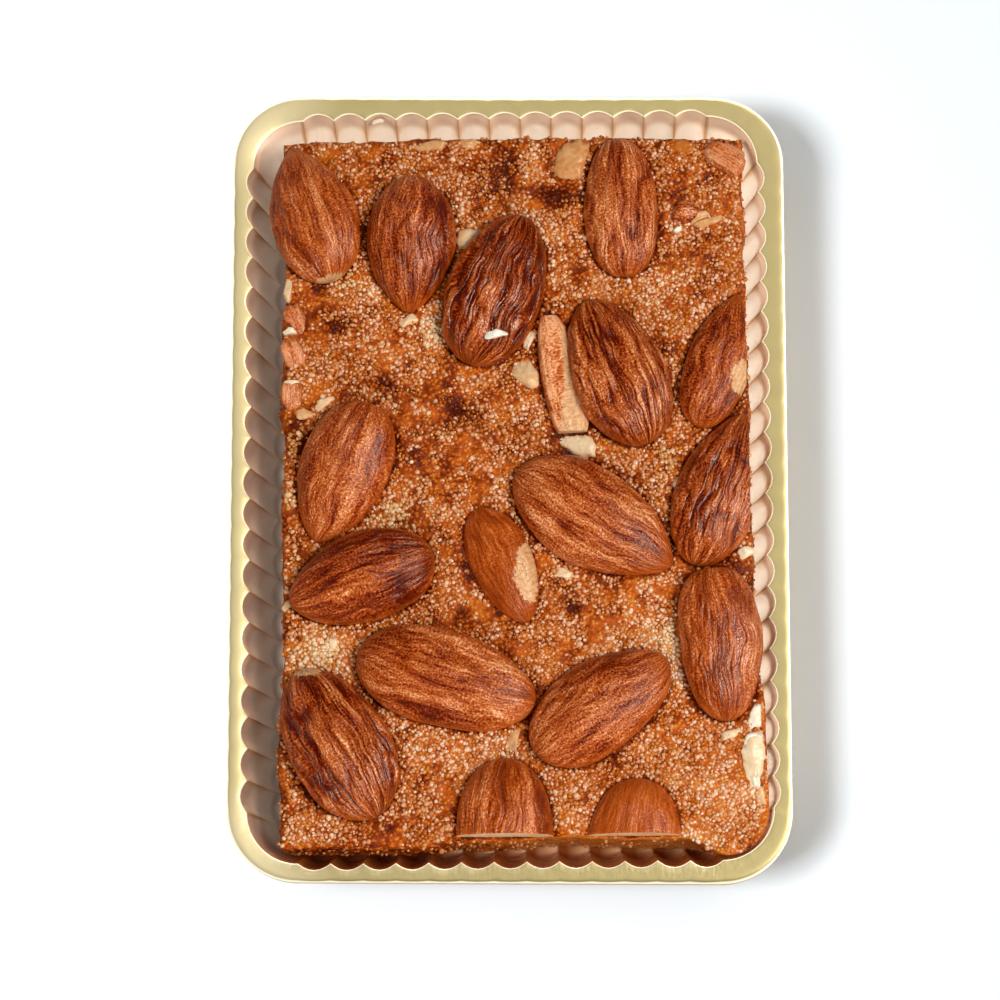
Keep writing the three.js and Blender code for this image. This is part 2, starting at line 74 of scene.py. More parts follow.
# The almonds, as in the solids: x, y and height above the slab, length and width, and how they lie
ALMONDS = {
    "almond_09": dict(at=(10.9, -5.1, 0.5), size=(23.3, 12.8), heading=-32, roll=4, blunt=0.6),
    "almond_11": dict(at=(-18.5, -12.5, 0.7), size=(19.2, 11.5), heading=199, roll=-6, tip=0.6),
    "almond_05": dict(at=(14.1, 14.0, 0.4), size=(20.5, 12.2), heading=112, roll=5, tip=0.55),
    "almond_03": dict(at=(-1.2, 25.0, 0.7), size=(20.9, 12.3), heading=70, roll=8, tip=0.5),
    "almond_13": dict(at=(11.5, -29.0, 0.4), size=(20.4, 11.7), heading=35, roll=-4, tip=0.55),
    "almond_06": dict(at=(27.2, 15.4, 0.2), size=(18.4, 8.4), heading=73, tip=0.8),
    "almond_01": dict(at=(-25.1, 35.5, 0.5), size=(18.9, 11.4), heading=106, roll=-4, tip=0.85),
    "almond_02": dict(at=(-12.2, 31.3, 0.5), size=(18.3, 11.7), heading=-92, pitch=-4, blunt=0.58),
    "almond_04": dict(at=(15.0, 36.0, 0.1), size=(18.7, 9.8), heading=93, tip=0.45, blunt=0.45),
    "almond_08": dict(at=(26.5, -21.4, 0.6), size=(19.4, 10.5), heading=-86, roll=-4, tip=0.45, blunt=0.3),
    "almond_12": dict(at=(-7.9, -25.4, 0.4), size=(23.2, 12.3), heading=-16, roll=3, tip=0.5),
    "almond_14": dict(at=(-21.4, -33.4, 0.6), size=(21.0, 12.7), heading=118, roll=3, tip=0.56, blunt=0.55),
    "almond_07": dict(at=(26.9, -1.4, 0.3), size=(20.8, 10.6), heading=71),
    "almond_10": dict(at=(-20.9, 1.2, 0.3), size=(19.1, 11.5), heading=-112, pitch=-6, tip=0.66, blunt=0.42),
    "almond_15": dict(at=(-0.6, -45.4, 0.2), size=(20.0, 12.0), heading=-90),
    "almond_16": dict(at=(15.1, -48.0, -0.6), size=(20.2, 11.9), heading=-98, blunt=0.45),
    "almond_half": dict(at=(-0.8, -10.9, -0.5), size=(16.2, 8.2), heading=-66, roll=10, tip=0.6, blunt=0.55),
    "almond_sliver": dict(at=(7.0, 13.9, -0.1), size=(17.1, 5.4), heading=102, roll=6, tip=0.5, blunt=0.25,
                          square=0.6),
}
TIP, BLUNT = 0.72, 0.5
ALMOND_THICKNESS = 0.58
WIDEST = -0.1
BRIM_ANGLE = 8

# How deeply the skin of each almond is folded, how dark it is and how glossy
SKINS = {
    "almond_01": (0.8, 0.30, 0.6), "almond_02": (0.8, 0.78, 0.5), "almond_03": (1.5, 0.85, 0.9),
    "almond_04": (1.0, 0.12, 0.5), "almond_05": (1.4, 0.25, 0.8), "almond_06": (0.7, 0.60, 0.3),
    "almond_07": (1.1, 0.60, 0.8), "almond_08": (0.7, 0.30, 0.7), "almond_09": (0.7, 0.10, 0.5),
    "almond_10": (0.5, 0.15, 0.3), "almond_11": (0.8, 1.05, 0.4), "almond_12": (0.6, 0.20, 0.4),
    "almond_13": (0.6, 0.15, 0.3), "almond_14": (1.4, 0.28, 0.7), "almond_15": (0.8, 0.42, 0.4),
    "almond_16": (0.3, 0.45, 0.5), "almond_half": (0.3, 0.75, 0.4), "almond_sliver": (0.5, -0.95, 0.3),
}

# Almonds that are coated in amber syrup, and how thickly
AMBER = {"almond_16": 0.7, "almond_half": 0.5, "almond_15": 0.25, "almond_01": 0.15, "almond_08": 0.2}

# Places where the skin of an almond is off and the flesh shows: outlines on the almond seen from
# above, along it towards its pointed end and across it to the left
BARE = {
    "almond_half": [(-1.5, 4.8), (1.0, 4.6), (4.0, 3.4), (6.2, 2.0), (5.5, 1.0), (2.5, 0.9), (0.5, 2.2),
                    (-1.0, 3.2)],
    "almond_06": [(-4.2, -6.0), (-3.6, -2.6), (-1.2, -1.9), (0.6, -2.8), (1.0, -6.0)],
    "almond_01": [(-10.0, -4.0), (-9.0, -1.5), (-8.9, 1.5), (-9.6, 3.0), (-11.0, 0.0)],
    "almond_14": [(8.6, -1.8), (9.2, -2.6), (11.0, -1.0), (10.6, 1.2), (9.6, 0.6)],
    "almond_sliver": [(-9.0, -3.5), (-9.0, 2.0), (-6.0, 1.6), (-2.5, 0.3), (1.0, -0.4), (5.0, -1.0),
                      (7.0, -2.2), (7.0, -3.5)],
}

# Broken bits, as in the solids: the outline of the widest level, height above the slab, and slope
BITS = {
    "chunk_back_right": (1.3, (0.1, 0.12), [
        (25.3, 43.6), (26.9, 41.6), (29.9, 39.7), (31.0, 41.2), (31.0, 43.4), (29.2, 44.6), (26.6, 45.0)]),
    "chunk_brown": (1.3, (-0.15, 0.1), [
        (21.6, 34.5), (23.0, 33.7), (24.8, 33.9), (26.0, 35.2), (24.6, 36.8), (22.8, 37.2), (21.6, 36.1)]),
    "chunk_left_upper": (0.9, (-0.2, 0.1), [
        (-28.9, 22.0), (-27.2, 19.8), (-25.9, 18.5), (-25.4, 19.2), (-26.0, 22.4), (-26.9, 23.7),
        (-28.6, 23.3)]),
    "chunk_left_middle": (1.0, (-0.1, 0.05), [
        (-29.0, 17.6), (-28.5, 15.8), (-26.7, 14.3), (-25.7, 15.6), (-26.1, 17.9), (-27.0, 19.0),
        (-28.6, 19.1)]),
    "chunk_left_lower": (0.8, (-0.1, 0.1), [
        (-28.9, 10.8), (-27.9, 9.3), (-26.4, 10.0), (-26.0, 12.0), (-26.4, 13.2), (-28.0, 13.5),
        (-28.9, 12.6)]),
    "flesh_wedge": (0.95, (-0.03, 0.05), [
        (5.9, 5.4), (7.4, 3.9), (9.2, 3.0), (11.1, 2.9), (11.4, 4.1), (10.8, 5.8), (7.3, 5.9)]),
    "flesh_nugget": (1.0, (0.1, -0.15), [
        (0.5, 14.0), (1.9, 12.7), (3.1, 11.9), (4.1, 12.3), (4.1, 14.2), (2.9, 15.8), (1.2, 15.7)]),
    "flesh_back": (0.9, (0.12, 0.0), [
        (6.1, 41.4), (7.3, 40.1), (9.9, 39.9), (10.6, 42.4), (11.2, 44.9), (9.4, 45.4), (7.2, 44.5)]),
    "flesh_corner": (0.5, (0.1, 0.0), [
        (28.8, -35.2), (29.2, -38.6), (30.0, -40.2), (31.4, -38.2), (32.0, -35.2), (31.5, -32.4),
        (29.6, -33.0)]),
    "nugget_tan": (0.8, (-0.05, 0.1), [
        (-6.6, 32.0), (-6.0, 30.8), (-4.6, 30.6), (-3.0, 31.7), (-2.7, 32.9), (-4.6, 33.6), (-6.0, 33.4)]),
}

# Small chips on the crust: x, y, length, width, heading, height above it and tint, from 0 amber to
# 1 cream. The first fourteen are as in the solids.
CHIPS = [
    (3.0, 18.7, 3.0, 1.6, 62, 0.7, 0.7), (6.9, -12.2, 2.4, 1.5, -20, 0.6, 0.7),
    (27.9, -32.7, 3.5, 1.7, 18, 0.7, 0.75), (30.9, -30.4, 3.4, 1.9, 84, 0.6, 0.9),
    (23.1, 44.0, 3.0, 2.4, 0, 0.5, 0.0), (26.4, 33.9, 4.2, 1.3, 16, 0.6, 0.45),
    (-12.4, 21.0, 2.6, 1.9, 15, 0.6, 0.65), (-9.5, 44.6, 4.2, 1.7, 4, 0.5, 0.45),
    (-4.6, 44.7, 3.6, 1.8, -6, 0.5, 0.4), (-26.0, 9.0, 2.4, 1.5, 10, 0.5, 0.5),
    (-28.0, 25.6, 3.2, 1.2, 85, 0.7, 0.65), (-23.2, 10.4, 2.8, 1.4, 35, 0.6, 0.65),
    (-18.0, -20.4, 2.8, 1.8, 70, 0.5, 0.6), (0.8, -33.2, 3.4, 2.2, 80, 0.5, 0.5),
    (21.5, -0.6, 2.2, 0.9, 60, 0.5, 0.95), (-22.0, -20.8, 1.0, 3.0, 5, 0.5, 0.65),
    (22.3, 32.9, 1.2, 0.8, 30, 0.8, 0.9), (-27.8, 19.8, 1.9, 1.1, 10, 1.1, 0.85),
    (-27.6, 12.9, 2.2, 1.1, 5, 1.0, 0.75), (30.0, -9.8, 2.4, 1.8, 35, 0.3, 0.8),
    (-27.6, -15.7, 2.0, 1.6, 30, 0.5, 0.6), (30.3, -33.4, 2.4, 1.8, 60, 0.7, 0.95),
    (30.6, -38.2, 2.6, 1.3, 100, 0.6, 0.9), (31.2, -40.6, 1.2, 3.0, 5, 0.3, 0.5),
    (25.2, 34.6, 3.4, 1.2, 25, 0.7, 0.5),
]

# Stray flakes off the crust: x, y, z, length, width, heading, height and tint
STRAYS = [
    (-1.4, 18.2, 17.5, 2.8, 1.3, 10, 0.4, 0.95), (-16.5, 48.2, 13.6, 1.6, 0.8, 15, 0.3, 0.85),
]

# Tint of the bits of bare nut, how jagged the outlines of some bits and of chips are, and which bits
# are worn round
TINTS = {"flesh_wedge": 0.72, "flesh_nugget": 0.62, "flesh_back": 0.36, "flesh_corner": 0.75,
         "nugget_tan": 0.67}
JAGGED = {"flesh_corner": 0.14, "flesh_wedge": 0.08, "chunk_back_right": 0.08, "chunk_left_upper": 0.1}
CHIP_JAGGED = 0.1
WORN = ("flesh_nugget", "flesh_back", "nugget_tan", "chunk_brown")

# Patches of the crust: x, y, radius and tone, below 0 burnt and above 0 pale. The dark patch at
# (-26.2, 4.6) is painted shade of a crevice, and the pale ones at (10.0, -46.4) and (21.5, -46.6)
# are painted light on the slab's front edge.
PATCHES = [
    (-0.6, 41.5, 2.8, -0.5), (5.2, 38.0, 1.7, -0.45), (8.0, 37.6, 1.5, -0.35), (-6.6, 10.1, 1.4, -0.5),
    (-6.0, 8.1, 3.2, -0.2), (-21.4, 20.8, 1.1, -0.5), (-15.2, 12.4, 1.4, -0.35), (8.3, -16.3, 0.9, -0.6),
    (-24.4, 26.0, 1.0, -1.1), (26.6, 31.6, 1.6, -0.2), (25.0, 39.2, 2.0, -0.15), (-10.3, -12.8, 0.8, -0.5),
    (-2.0, -9.0, 5.0, -0.1), (-12.0, 36.0, 2.5, -0.2), (17.0, 10.0, 3.0, -0.1),
    (-24.0, -22.0, 3.2, 0.35), (-3.7, -36.2, 4.5, 0.3), (14.0, -17.4, 4.5, 0.25), (26.0, -41.0, 5.0, 0.35),
    (24.5, -30.0, 3.0, 0.2), (-20.0, -42.5, 4.0, 0.15), (3.5, 30.5, 4.0, 0.25), (19.0, 25.0, 3.5, 0.1),
    (19.6, -24.4, 2.2, 1.5), (-26.2, 4.6, 1.5, -0.9), (-26.6, 8.2, 1.2, -0.6), (10.0, -46.4, 1.6, 0.8),
    (21.5, -46.6, 2.0, 0.8), (-9.0, 20.6, 3.0, 0.35),
    (20.0, -20.0, 4.0, 0.4), (13.0, -16.0, 3.0, -0.15), (-19.0, 6.0, 2.5, -0.15),
    (-12.0, 13.0, 5.0, -0.12), (-9.5, -35.5, 3.0, 0.2), (-8.6, 1.0, 3.0, -0.15), (-17.0, -46.5, 3.0, -0.25),
    (-17.0, 26.0, 2.0, 0.3), (-23.0, 42.5, 2.5, 0.1), (-13.5, -2.0, 2.5, 0.2),
]

# Patches where the grains are raw and yellow: x, y and radius
RAW = [(-23.7, -22.0, 3.4), (-27.4, -3.0, 2.0), (-14.5, -4.5, 2.6), (-9.0, 20.0, 2.2), (-16.5, 6.0, 2.0),
       (-26.6, 5.0, 2.2), (20.5, 3.0, 1.6), (-20.5, 26.5, 1.8), (20.0, -20.0, 2.2)]

rng = np.random.default_rng(7)


# Numbers

def mix(a, b, t):
    return a + (b - a) * t


def smooth(x, low=0.0, high=1.0):
    t = np.clip((x - low) / (high - low), 0.0, 1.0)
    return t * t * (3 - 2 * t)


def lattice(i, j, k=0):
    """The same repeatable random numbers as the solids' relief is made with."""
    wave = np.sin(i * 127.1 + j * 311.7 + k * 74.7) * 43758.5453
    return wave - np.floor(wave)


def bumps(x, y, seed):
    """Smooth random bumps from -1 to 1, one for each unit of x and y."""
    x, y = np.broadcast_arrays(np.asarray(x, float), np.asarray(y, float))
    i, j = np.floor(x), np.floor(y)
    u, v = smooth(x - i), smooth(y - j)
    near = mix(lattice(i, j, seed), lattice(i + 1, j, seed), u)
    far = mix(lattice(i, j + 1, seed), lattice(i + 1, j + 1, seed), u)
    return 2 * mix(near, far, v) - 1


def inside_outline(x, y, outline):
    """How far each point is inside a closed outline, less than 0 outside it."""
    nearest = np.full(np.shape(x), 1e9)
    inside = np.zeros(np.shape(x), bool)
    for (ax, ay), (bx, by) in zip(outline, outline[1:] + outline[:1]):
        dx, dy = bx - ax, by - ay
        t = np.clip(((x - ax) * dx + (y - ay) * dy) / (dx * dx + dy * dy), 0, 1)
        nearest = np.minimum(nearest, np.hypot(x - ax - t * dx, y - ay - t * dy))
        if dy:
            inside ^= ((y < ay) != (y < by)) & (x < ax + (y - ay) * dx / dy)
    return np.where(inside, nearest, -nearest)


# Meshes

def add_mesh(name, points, faces, materials):
    """A smooth mesh object from arrays of points, in millimetres, and of triangles or quads."""
    points, faces = np.asarray(points, float), np.asarray(faces, np.int32)
    mesh = bpy.data.meshes.new(name)
    mesh.vertices.add(len(points))
    mesh.vertices.foreach_set("co", (points * MM).astype(np.float32).ravel())
    mesh.loops.add(faces.size)
    mesh.loops.foreach_set("vertex_index", faces.ravel())
    mesh.polygons.add(len(faces))
    mesh.polygons.foreach_set("loop_start", np.arange(0, faces.size, faces.shape[1], dtype=np.int32))
    mesh.update(calc_edges=True)
    mesh.validate()
    mesh.polygons.foreach_set("use_smooth", np.ones(len(mesh.polygons), bool))
    for material in materials:
        mesh.materials.append(material)
    piece = bpy.data.objects.new(name, mesh)
    bpy.context.scene.collection.objects.link(piece)
    return piece


def add_values(piece, **attributes):
    """Gives each point of a piece numbers, or vectors, that its material reads by name."""
    for name, values in attributes.items():
        values = np.asarray(values, np.float32)
        kind, field = ("FLOAT_VECTOR", "vector") if values.ndim == 2 else ("FLOAT", "value")
        made = piece.data.attributes.new(name, kind, "POINT")
        made.data.foreach_set(field, values.ravel())


def ring_faces(rows, count):
    """Quads between rows of points, where each row closes on itself."""
    i = np.arange(count)
    after = (i + 1) % count
    quads = [np.stack([r * count + i, r * count + after, (r + 1) * count + after, (r + 1) * count + i], 1)
             for r in range(rows - 1)]
    return np.concatenate(quads)


def split(quads):
    return np.concatenate([quads[:, [0, 1, 2]], quads[:, [0, 2, 3]]])


def closed_rings(rings, low_end, high_end):
    """Points and triangles of rings of points, from the low end to the high one, closed at both."""
    count = len(rings[0])
    points = np.concatenate([*rings, [low_end, high_end]])
    i, after = np.arange(count), (np.arange(count) + 1) % count
    last, low, high = (len(rings) - 1) * count, len(rings) * count, len(rings) * count + 1
    caps = np.concatenate([np.stack([np.full(count, low), after, i], 1),
                           np.stack([np.full(count, high), last + i, last + after], 1)])
    return points, np.concatenate([split(ring_faces(len(rings), count)), caps])


# Materials

# The tint of what syrup mirrors
SYRUP_GLINT = (1.0, 0.84, 0.68, 1.0)

# The tray's gold coat, its bronze inside with the walls' painted shade, and light through and off its bare
# plastic
GOLD = [(0.25, (0.36, 0.285, 0.115)), (0.5, (0.42, 0.335, 0.16)), (0.8, (0.50, 0.41, 0.22))]
BRONZE = [(0.0, (0.26, 0.060, 0.008)), (0.35, (0.58, 0.28, 0.13)), (0.65, (0.86, 0.52, 0.27)),
          (1.0, (0.98, 0.85, 0.72))]
CLEAR = [(0.0, (1.0, 0.93, 0.84)), (0.44, (1.0, 0.91, 0.80)), (0.55, (0.90, 0.70, 0.50)),
         (1.0, (0.62, 0.40, 0.22))]
MILKY = [(0.0, (0.95, 0.84, 0.72)), (0.44, (0.95, 0.80, 0.66)), (0.55, (0.76, 0.52, 0.34)),
         (1.0, (0.46, 0.27, 0.14))]
# Colour of a painted highlight along the rim's rolled edges and of painted glare on its left side
EDGE_HIGHLIGHT = (0.86, 0.74, 0.52, 1.0)

# The crumb, from burnt to pale, and the semolina grains, each from its darkest to its palest
CRUMB = [(0.0, (0.070, 0.006, 0.001)), (0.25, (0.20, 0.025, 0.001)), (0.5, (0.46, 0.082, 0.005)),
         (0.75, (0.60, 0.140, 0.010)), (1.0, (0.66, 0.25, 0.05))]
PALE_GRAIN = [(0.0, (0.46, 0.14, 0.035)), (0.35, (0.64, 0.265, 0.105)), (0.7, (0.76, 0.41, 0.22)),
              (1.0, (0.86, 0.60, 0.40))]
TAN_GRAIN = [(0.0, (0.28, 0.045, 0.006)), (0.4, (0.53, 0.145, 0.026)), (1.0, (0.73, 0.33, 0.12))]
AMBER_GRAIN = [(0.0, (0.16, 0.02, 0.001)), (0.5, (0.46, 0.10, 0.005)), (1.0, (0.66, 0.22, 0.02))]
RAW_GRAIN = [(0.0, (0.46, 0.17, 0.03)), (0.5, (0.68, 0.37, 0.14)), (1.0, (0.84, 0.62, 0.38))]

# The almonds' skin, the syrup on it, the flesh under it, and bare nut from amber to cream. The
# skin's palest stop is partly painted sheen.
SKIN = [(0.03, (0.085, 0.004, 0.0003)), (0.22, (0.21, 0.022, 0.0015)), (0.42, (0.36, 0.056, 0.006)),
        (0.60, (0.50, 0.110, 0.020)), (0.78, (0.67, 0.205, 0.060)), (0.97, (0.91, 0.430, 0.200))]
SYRUP = [(0.3, (0.30, 0.036, 0.002)), (0.7, (0.60, 0.115, 0.006))]
FLESH = [(0.35, (0.56, 0.24, 0.085)), (0.6, (0.74, 0.42, 0.20))]
NUT = [(0.0, (0.48, 0.120, 0.008)), (0.3, (0.58, 0.240, 0.070)), (0.55, (0.76, 0.440, 0.200)),
       (0.8, (0.86, 0.680, 0.440)), (1.0, (0.92, 0.840, 0.680))]


def new_material(name):
    material = bpy.data.materials.new(name)
    material.use_nodes = True
    tree = material.node_tree
    return material, tree, tree.nodes["Principled BSDF"]


def node(tree, kind, **settings):
    made = tree.nodes.new(kind)
    for key, value in settings.items():
        if key in made.inputs:
            made.inputs[key].default_value = value
        else:
            setattr(made, key, value)
    return made


def noise(tree, vector, scale, detail=3.0, roughness=0.55, distortion=0.0):
    made = node(tree, "ShaderNodeTexNoise", Scale=scale, Detail=detail, Roughness=roughness,
                Distortion=distortion)
    tree.links.new(vector, made.inputs["Vector"])
    return made.outputs["Fac"]


def ramp(tree, value, stops):
    made = tree.nodes.new("ShaderNodeValToRGB")
    elements = made.color_ramp.elements
    while len(elements) < len(stops):
        elements.new(0.5)
    for element, (place, colour) in zip(elements, stops):
        element.position = place
        element.color = (*colour, 1.0)
    tree.links.new(value, made.inputs["Fac"])
    return made.outputs["Color"]


def level(tree, value, low, high, floor=0.0, top=1.0):
    """value from low to high, stretched to run from floor to top."""
    made = node(tree, "ShaderNodeMapRange")
    for name, setting in (("From Min", low), ("From Max", high), ("To Min", floor), ("To Max", top)):
        made.inputs[name].default_value = setting
    tree.links.new(value, made.inputs["Value"])
    return made.outputs["Result"]


def maths(tree, operation, a, b=0.0):
    made = node(tree, "ShaderNodeMath", operation=operation)
    for socket, value in zip(made.inputs, (a, b)):
        if isinstance(value, (int, float)):
            socket.default_value = value
        else:
            tree.links.new(value, socket)
    return made.outputs[0]


def summed(tree, first, *terms):
    """first plus each value times its weight, where the value varies about its middle. The first is a
    number or a socket."""
    total = first
    for value, middle, weight in terms:
        part = maths(tree, "MULTIPLY", maths(tree, "SUBTRACT", value, middle), weight)
        total = maths(tree, "ADD", total, part)
    return total


def blend_colours(tree, factor, a, b):
    made = node(tree, "ShaderNodeMix", data_type="RGBA")
    for socket, value in zip((made.inputs[0], made.inputs[6], made.inputs[7]), (factor, a, b)):
        if isinstance(value, tuple):
            socket.default_value = (*value, 1.0)
        else:
            tree.links.new(value, socket)
    return made.outputs[2]


def blend_shaders(tree, factor, a, b):
    made = node(tree, "ShaderNodeMixShader")
    if isinstance(factor, float):
        made.inputs[0].default_value = factor
    else:
        tree.links.new(factor, made.inputs[0])
    tree.links.new(a, made.inputs[1])
    tree.links.new(b, made.inputs[2])
    return made.outputs[0]


def object_place(tree):
    return node(tree, "ShaderNodeTexCoord").outputs["Object"]


def attribute(tree, name, output="Fac"):
    return node(tree, "ShaderNodeAttribute", attribute_name=name).outputs[output]


def bump(tree, shader, height, distance, strength=1.0, below=None):
    made = node(tree, "ShaderNodeBump", Strength=strength, Distance=distance)
    tree.links.new(height, made.inputs["Height"])
    if below is not None:
        tree.links.new(below, made.inputs["Normal"])
    tree.links.new(made.outputs["Normal"], shader.inputs["Normal"])
    return made.outputs["Normal"]


def finish(tree, shader, colour, roughness, shine=0.5):
    """Joins a colour, and a roughness that is a number or a socket, to a shader with a syrupy shine."""
    tree.links.new(colour, shader.inputs["Base Color"])
    if isinstance(roughness, float):
        shader.inputs["Roughness"].default_value = roughness
    else:
        tree.links.new(roughness, shader.inputs["Roughness"])
    shader.inputs["Specular IOR Level"].default_value = shine
    shader.inputs["Specular Tint"].default_value = SYRUP_GLINT


def gold_material():
    """Thin plastic sheet with a satin gold coat on the rim. On the walls light comes through it; the
    colours of the walls hold painted shade and light: darker near the top, along the creases between
    the flutes and on the front and left sides, paler low down, a painted highlight beside each crease,
    and each flute paler towards one side."""
    material, tree, shader = new_material("gold_sheet")
    at = object_place(tree)
    cloud, streaks = noise(tree, at, 90.0, 3.0), noise(tree, at, 500.0, 4.0)
    fine, hatch = noise(tree, at, 2600.0, 2.0), attribute(tree, "hatch")
    mottle = maths(tree, "MULTIPLY", noise(tree, at, 800.0, 3.0), hatch)
    brushed = node(tree, "ShaderNodeCombineXYZ")
    tree.links.new(attribute(tree, "round"), brushed.inputs["X"])
    pleats = maths(tree, "MULTIPLY", noise(tree, brushed.outputs[0], 2.2, 2.0), hatch)
    tone = summed(tree, cloud, (fine, 0.5, 0.2), (mottle, 0.6, 0.8), (pleats, 0.5, 0.6))
    finish(tree, shader, ramp(tree, tone, GOLD), level(tree, streaks, 0.3, 0.7, 0.36, 0.46))
    shader.inputs["Metallic"].default_value = 0.8
    first = bump(tree, shader, summed(tree, mottle, (pleats, 0.0, 0.4)), 0.0002, 0.4)
    bump(tree, shader, streaks, 0.00003, 0.4, first)
    # Painted highlight along the rolled edges and painted glare on the left rim: a pale shader mixed in by
    # the edge marks
    pale = node(tree, "ShaderNodeBsdfPrincipled", Roughness=0.3)
    pale.inputs["Base Color"].default_value = EDGE_HIGHLIGHT
    # The share of painted highlight and glare
    worn = level(tree, attribute(tree, "edge"), 0.0, 1.0, 0.03, 0.85)
    rim = blend_shaders(tree, worn, shader.outputs[0], pale.outputs[0])

    crease, lower_wall_light, thin_and_shade = (attribute(tree, name) for name in ("crease", "lower_wall_light", "thin_and_shade"))
    inner = node(tree, "ShaderNodeBsdfPrincipled")
    # Painted shade and light inside the walls: darker near the top, at the creases and on the front and left
    # sides, a painted highlight beside each crease and each flute paler towards one side. The cloud is the
    # sheet's own tone.
    ridge = level(tree, crease, 0.5, 1.0)
    shade = summed(tree, 0.58, (lower_wall_light, 0.5, 1.8), (cloud, 0.5, 0.9), (crease, 0.0, -1.4),
                   (ridge, 0.0, 1.6), (attribute(tree, "phase"), 0.4, 1.0), (thin_and_shade, 0.4, 3.6))
    finish(tree, inner, ramp(tree, shade, BRONZE), 0.25, 0.1)
    tree.links.new(level(tree, thin_and_shade, 0.02, 0.4, 0.0, 0.5), inner.inputs["Metallic"])
    bump(tree, inner, cloud, 0.0002, 0.5)
    # The light through the plastic is painted paler low on the wall and darker at the creases, as painted
    # shade; near the top more of it is the milky plastic.
    tinted = summed(tree, 0.55, (lower_wall_light, 0.0, -0.55), (crease, 0.0, 0.6))
    through, off = node(tree, "ShaderNodeBsdfTranslucent"), node(tree, "ShaderNodeBsdfDiffuse")
    tree.links.new(ramp(tree, tinted, CLEAR), through.inputs["Color"])
    tree.links.new(ramp(tree, tinted, MILKY), off.inputs["Color"])
    cloudy = level(tree, lower_wall_light, 0.02, 0.15, 0.85, 0.35)
    plastic = blend_shaders(tree, cloudy, through.outputs[0], off.outputs[0])
    walls = blend_shaders(tree, thin_and_shade, inner.outputs[0], plastic)
    both = blend_shaders(tree, attribute(tree, "wall"), rim, walls)
    tree.links.new(both, tree.nodes["Material Output"].inputs["Surface"])
    return material


def crumb_material():
    """Cake crumb under amber syrup, from burnt through orange brown to pale, with sunken grains."""
    material, tree, shader = new_material("syrup_crumb")
    at = object_place(tree)
    fine = noise(tree, at, 1100.0, 4.0, 0.65)
    patchy = noise(tree, at, 420.0, 3.0)
    grains = node(tree, "ShaderNodeTexVoronoi", Scale=1900.0)
    tree.links.new(at, grains.inputs["Vector"])
    sunken = level(tree, grains.outputs["Distance"], 0.55, 0.15)
    mixed = summed(tree, attribute(tree, "tone"), (fine, 0.5, 0.6), (patchy, 0.5, 1.1), (sunken, 0.35, 0.5))
    finish(tree, shader, ramp(tree, mixed, CRUMB), level(tree, patchy, 0.35, 0.65, 0.2, 0.45), 0.2)
    first = bump(tree, shader, sunken, 0.00013, 0.8)
    bump(tree, shader, fine, 0.0004, 1.0, first)
    return material


def grain_material(name, stops, roughness):
    """A grain of semolina glazed with syrup. Its tint runs from the darkest stop to the palest."""
    material, tree, shader = new_material(name)
    mottle = noise(tree, object_place(tree), 2400.0, 2.0)
    mixed = summed(tree, attribute(tree, "tint"), (mottle, 0.5, 0.5))
    finish(tree, shader, ramp(tree, mixed, stops), roughness, 0.7)
    bump(tree, shader, mottle, 0.00008, 0.7)
    return material


def stretched(tree, vector, along, seed):
    """The vector drawn out along its first axis and moved to a place of its own."""
    made = node(tree, "ShaderNodeMapping", Scale=(along, 1.0, 1.0), Location=(seed * 3.7, seed * 1.3, 0.0))
    tree.links.new(vector, made.inputs["Vector"])
    return made.outputs["Vector"]


# How much of an almond's colour is syrup at its foot: the syrup's own orange, and painted glow of
# light through it
FOOT_SYRUP = 0.7


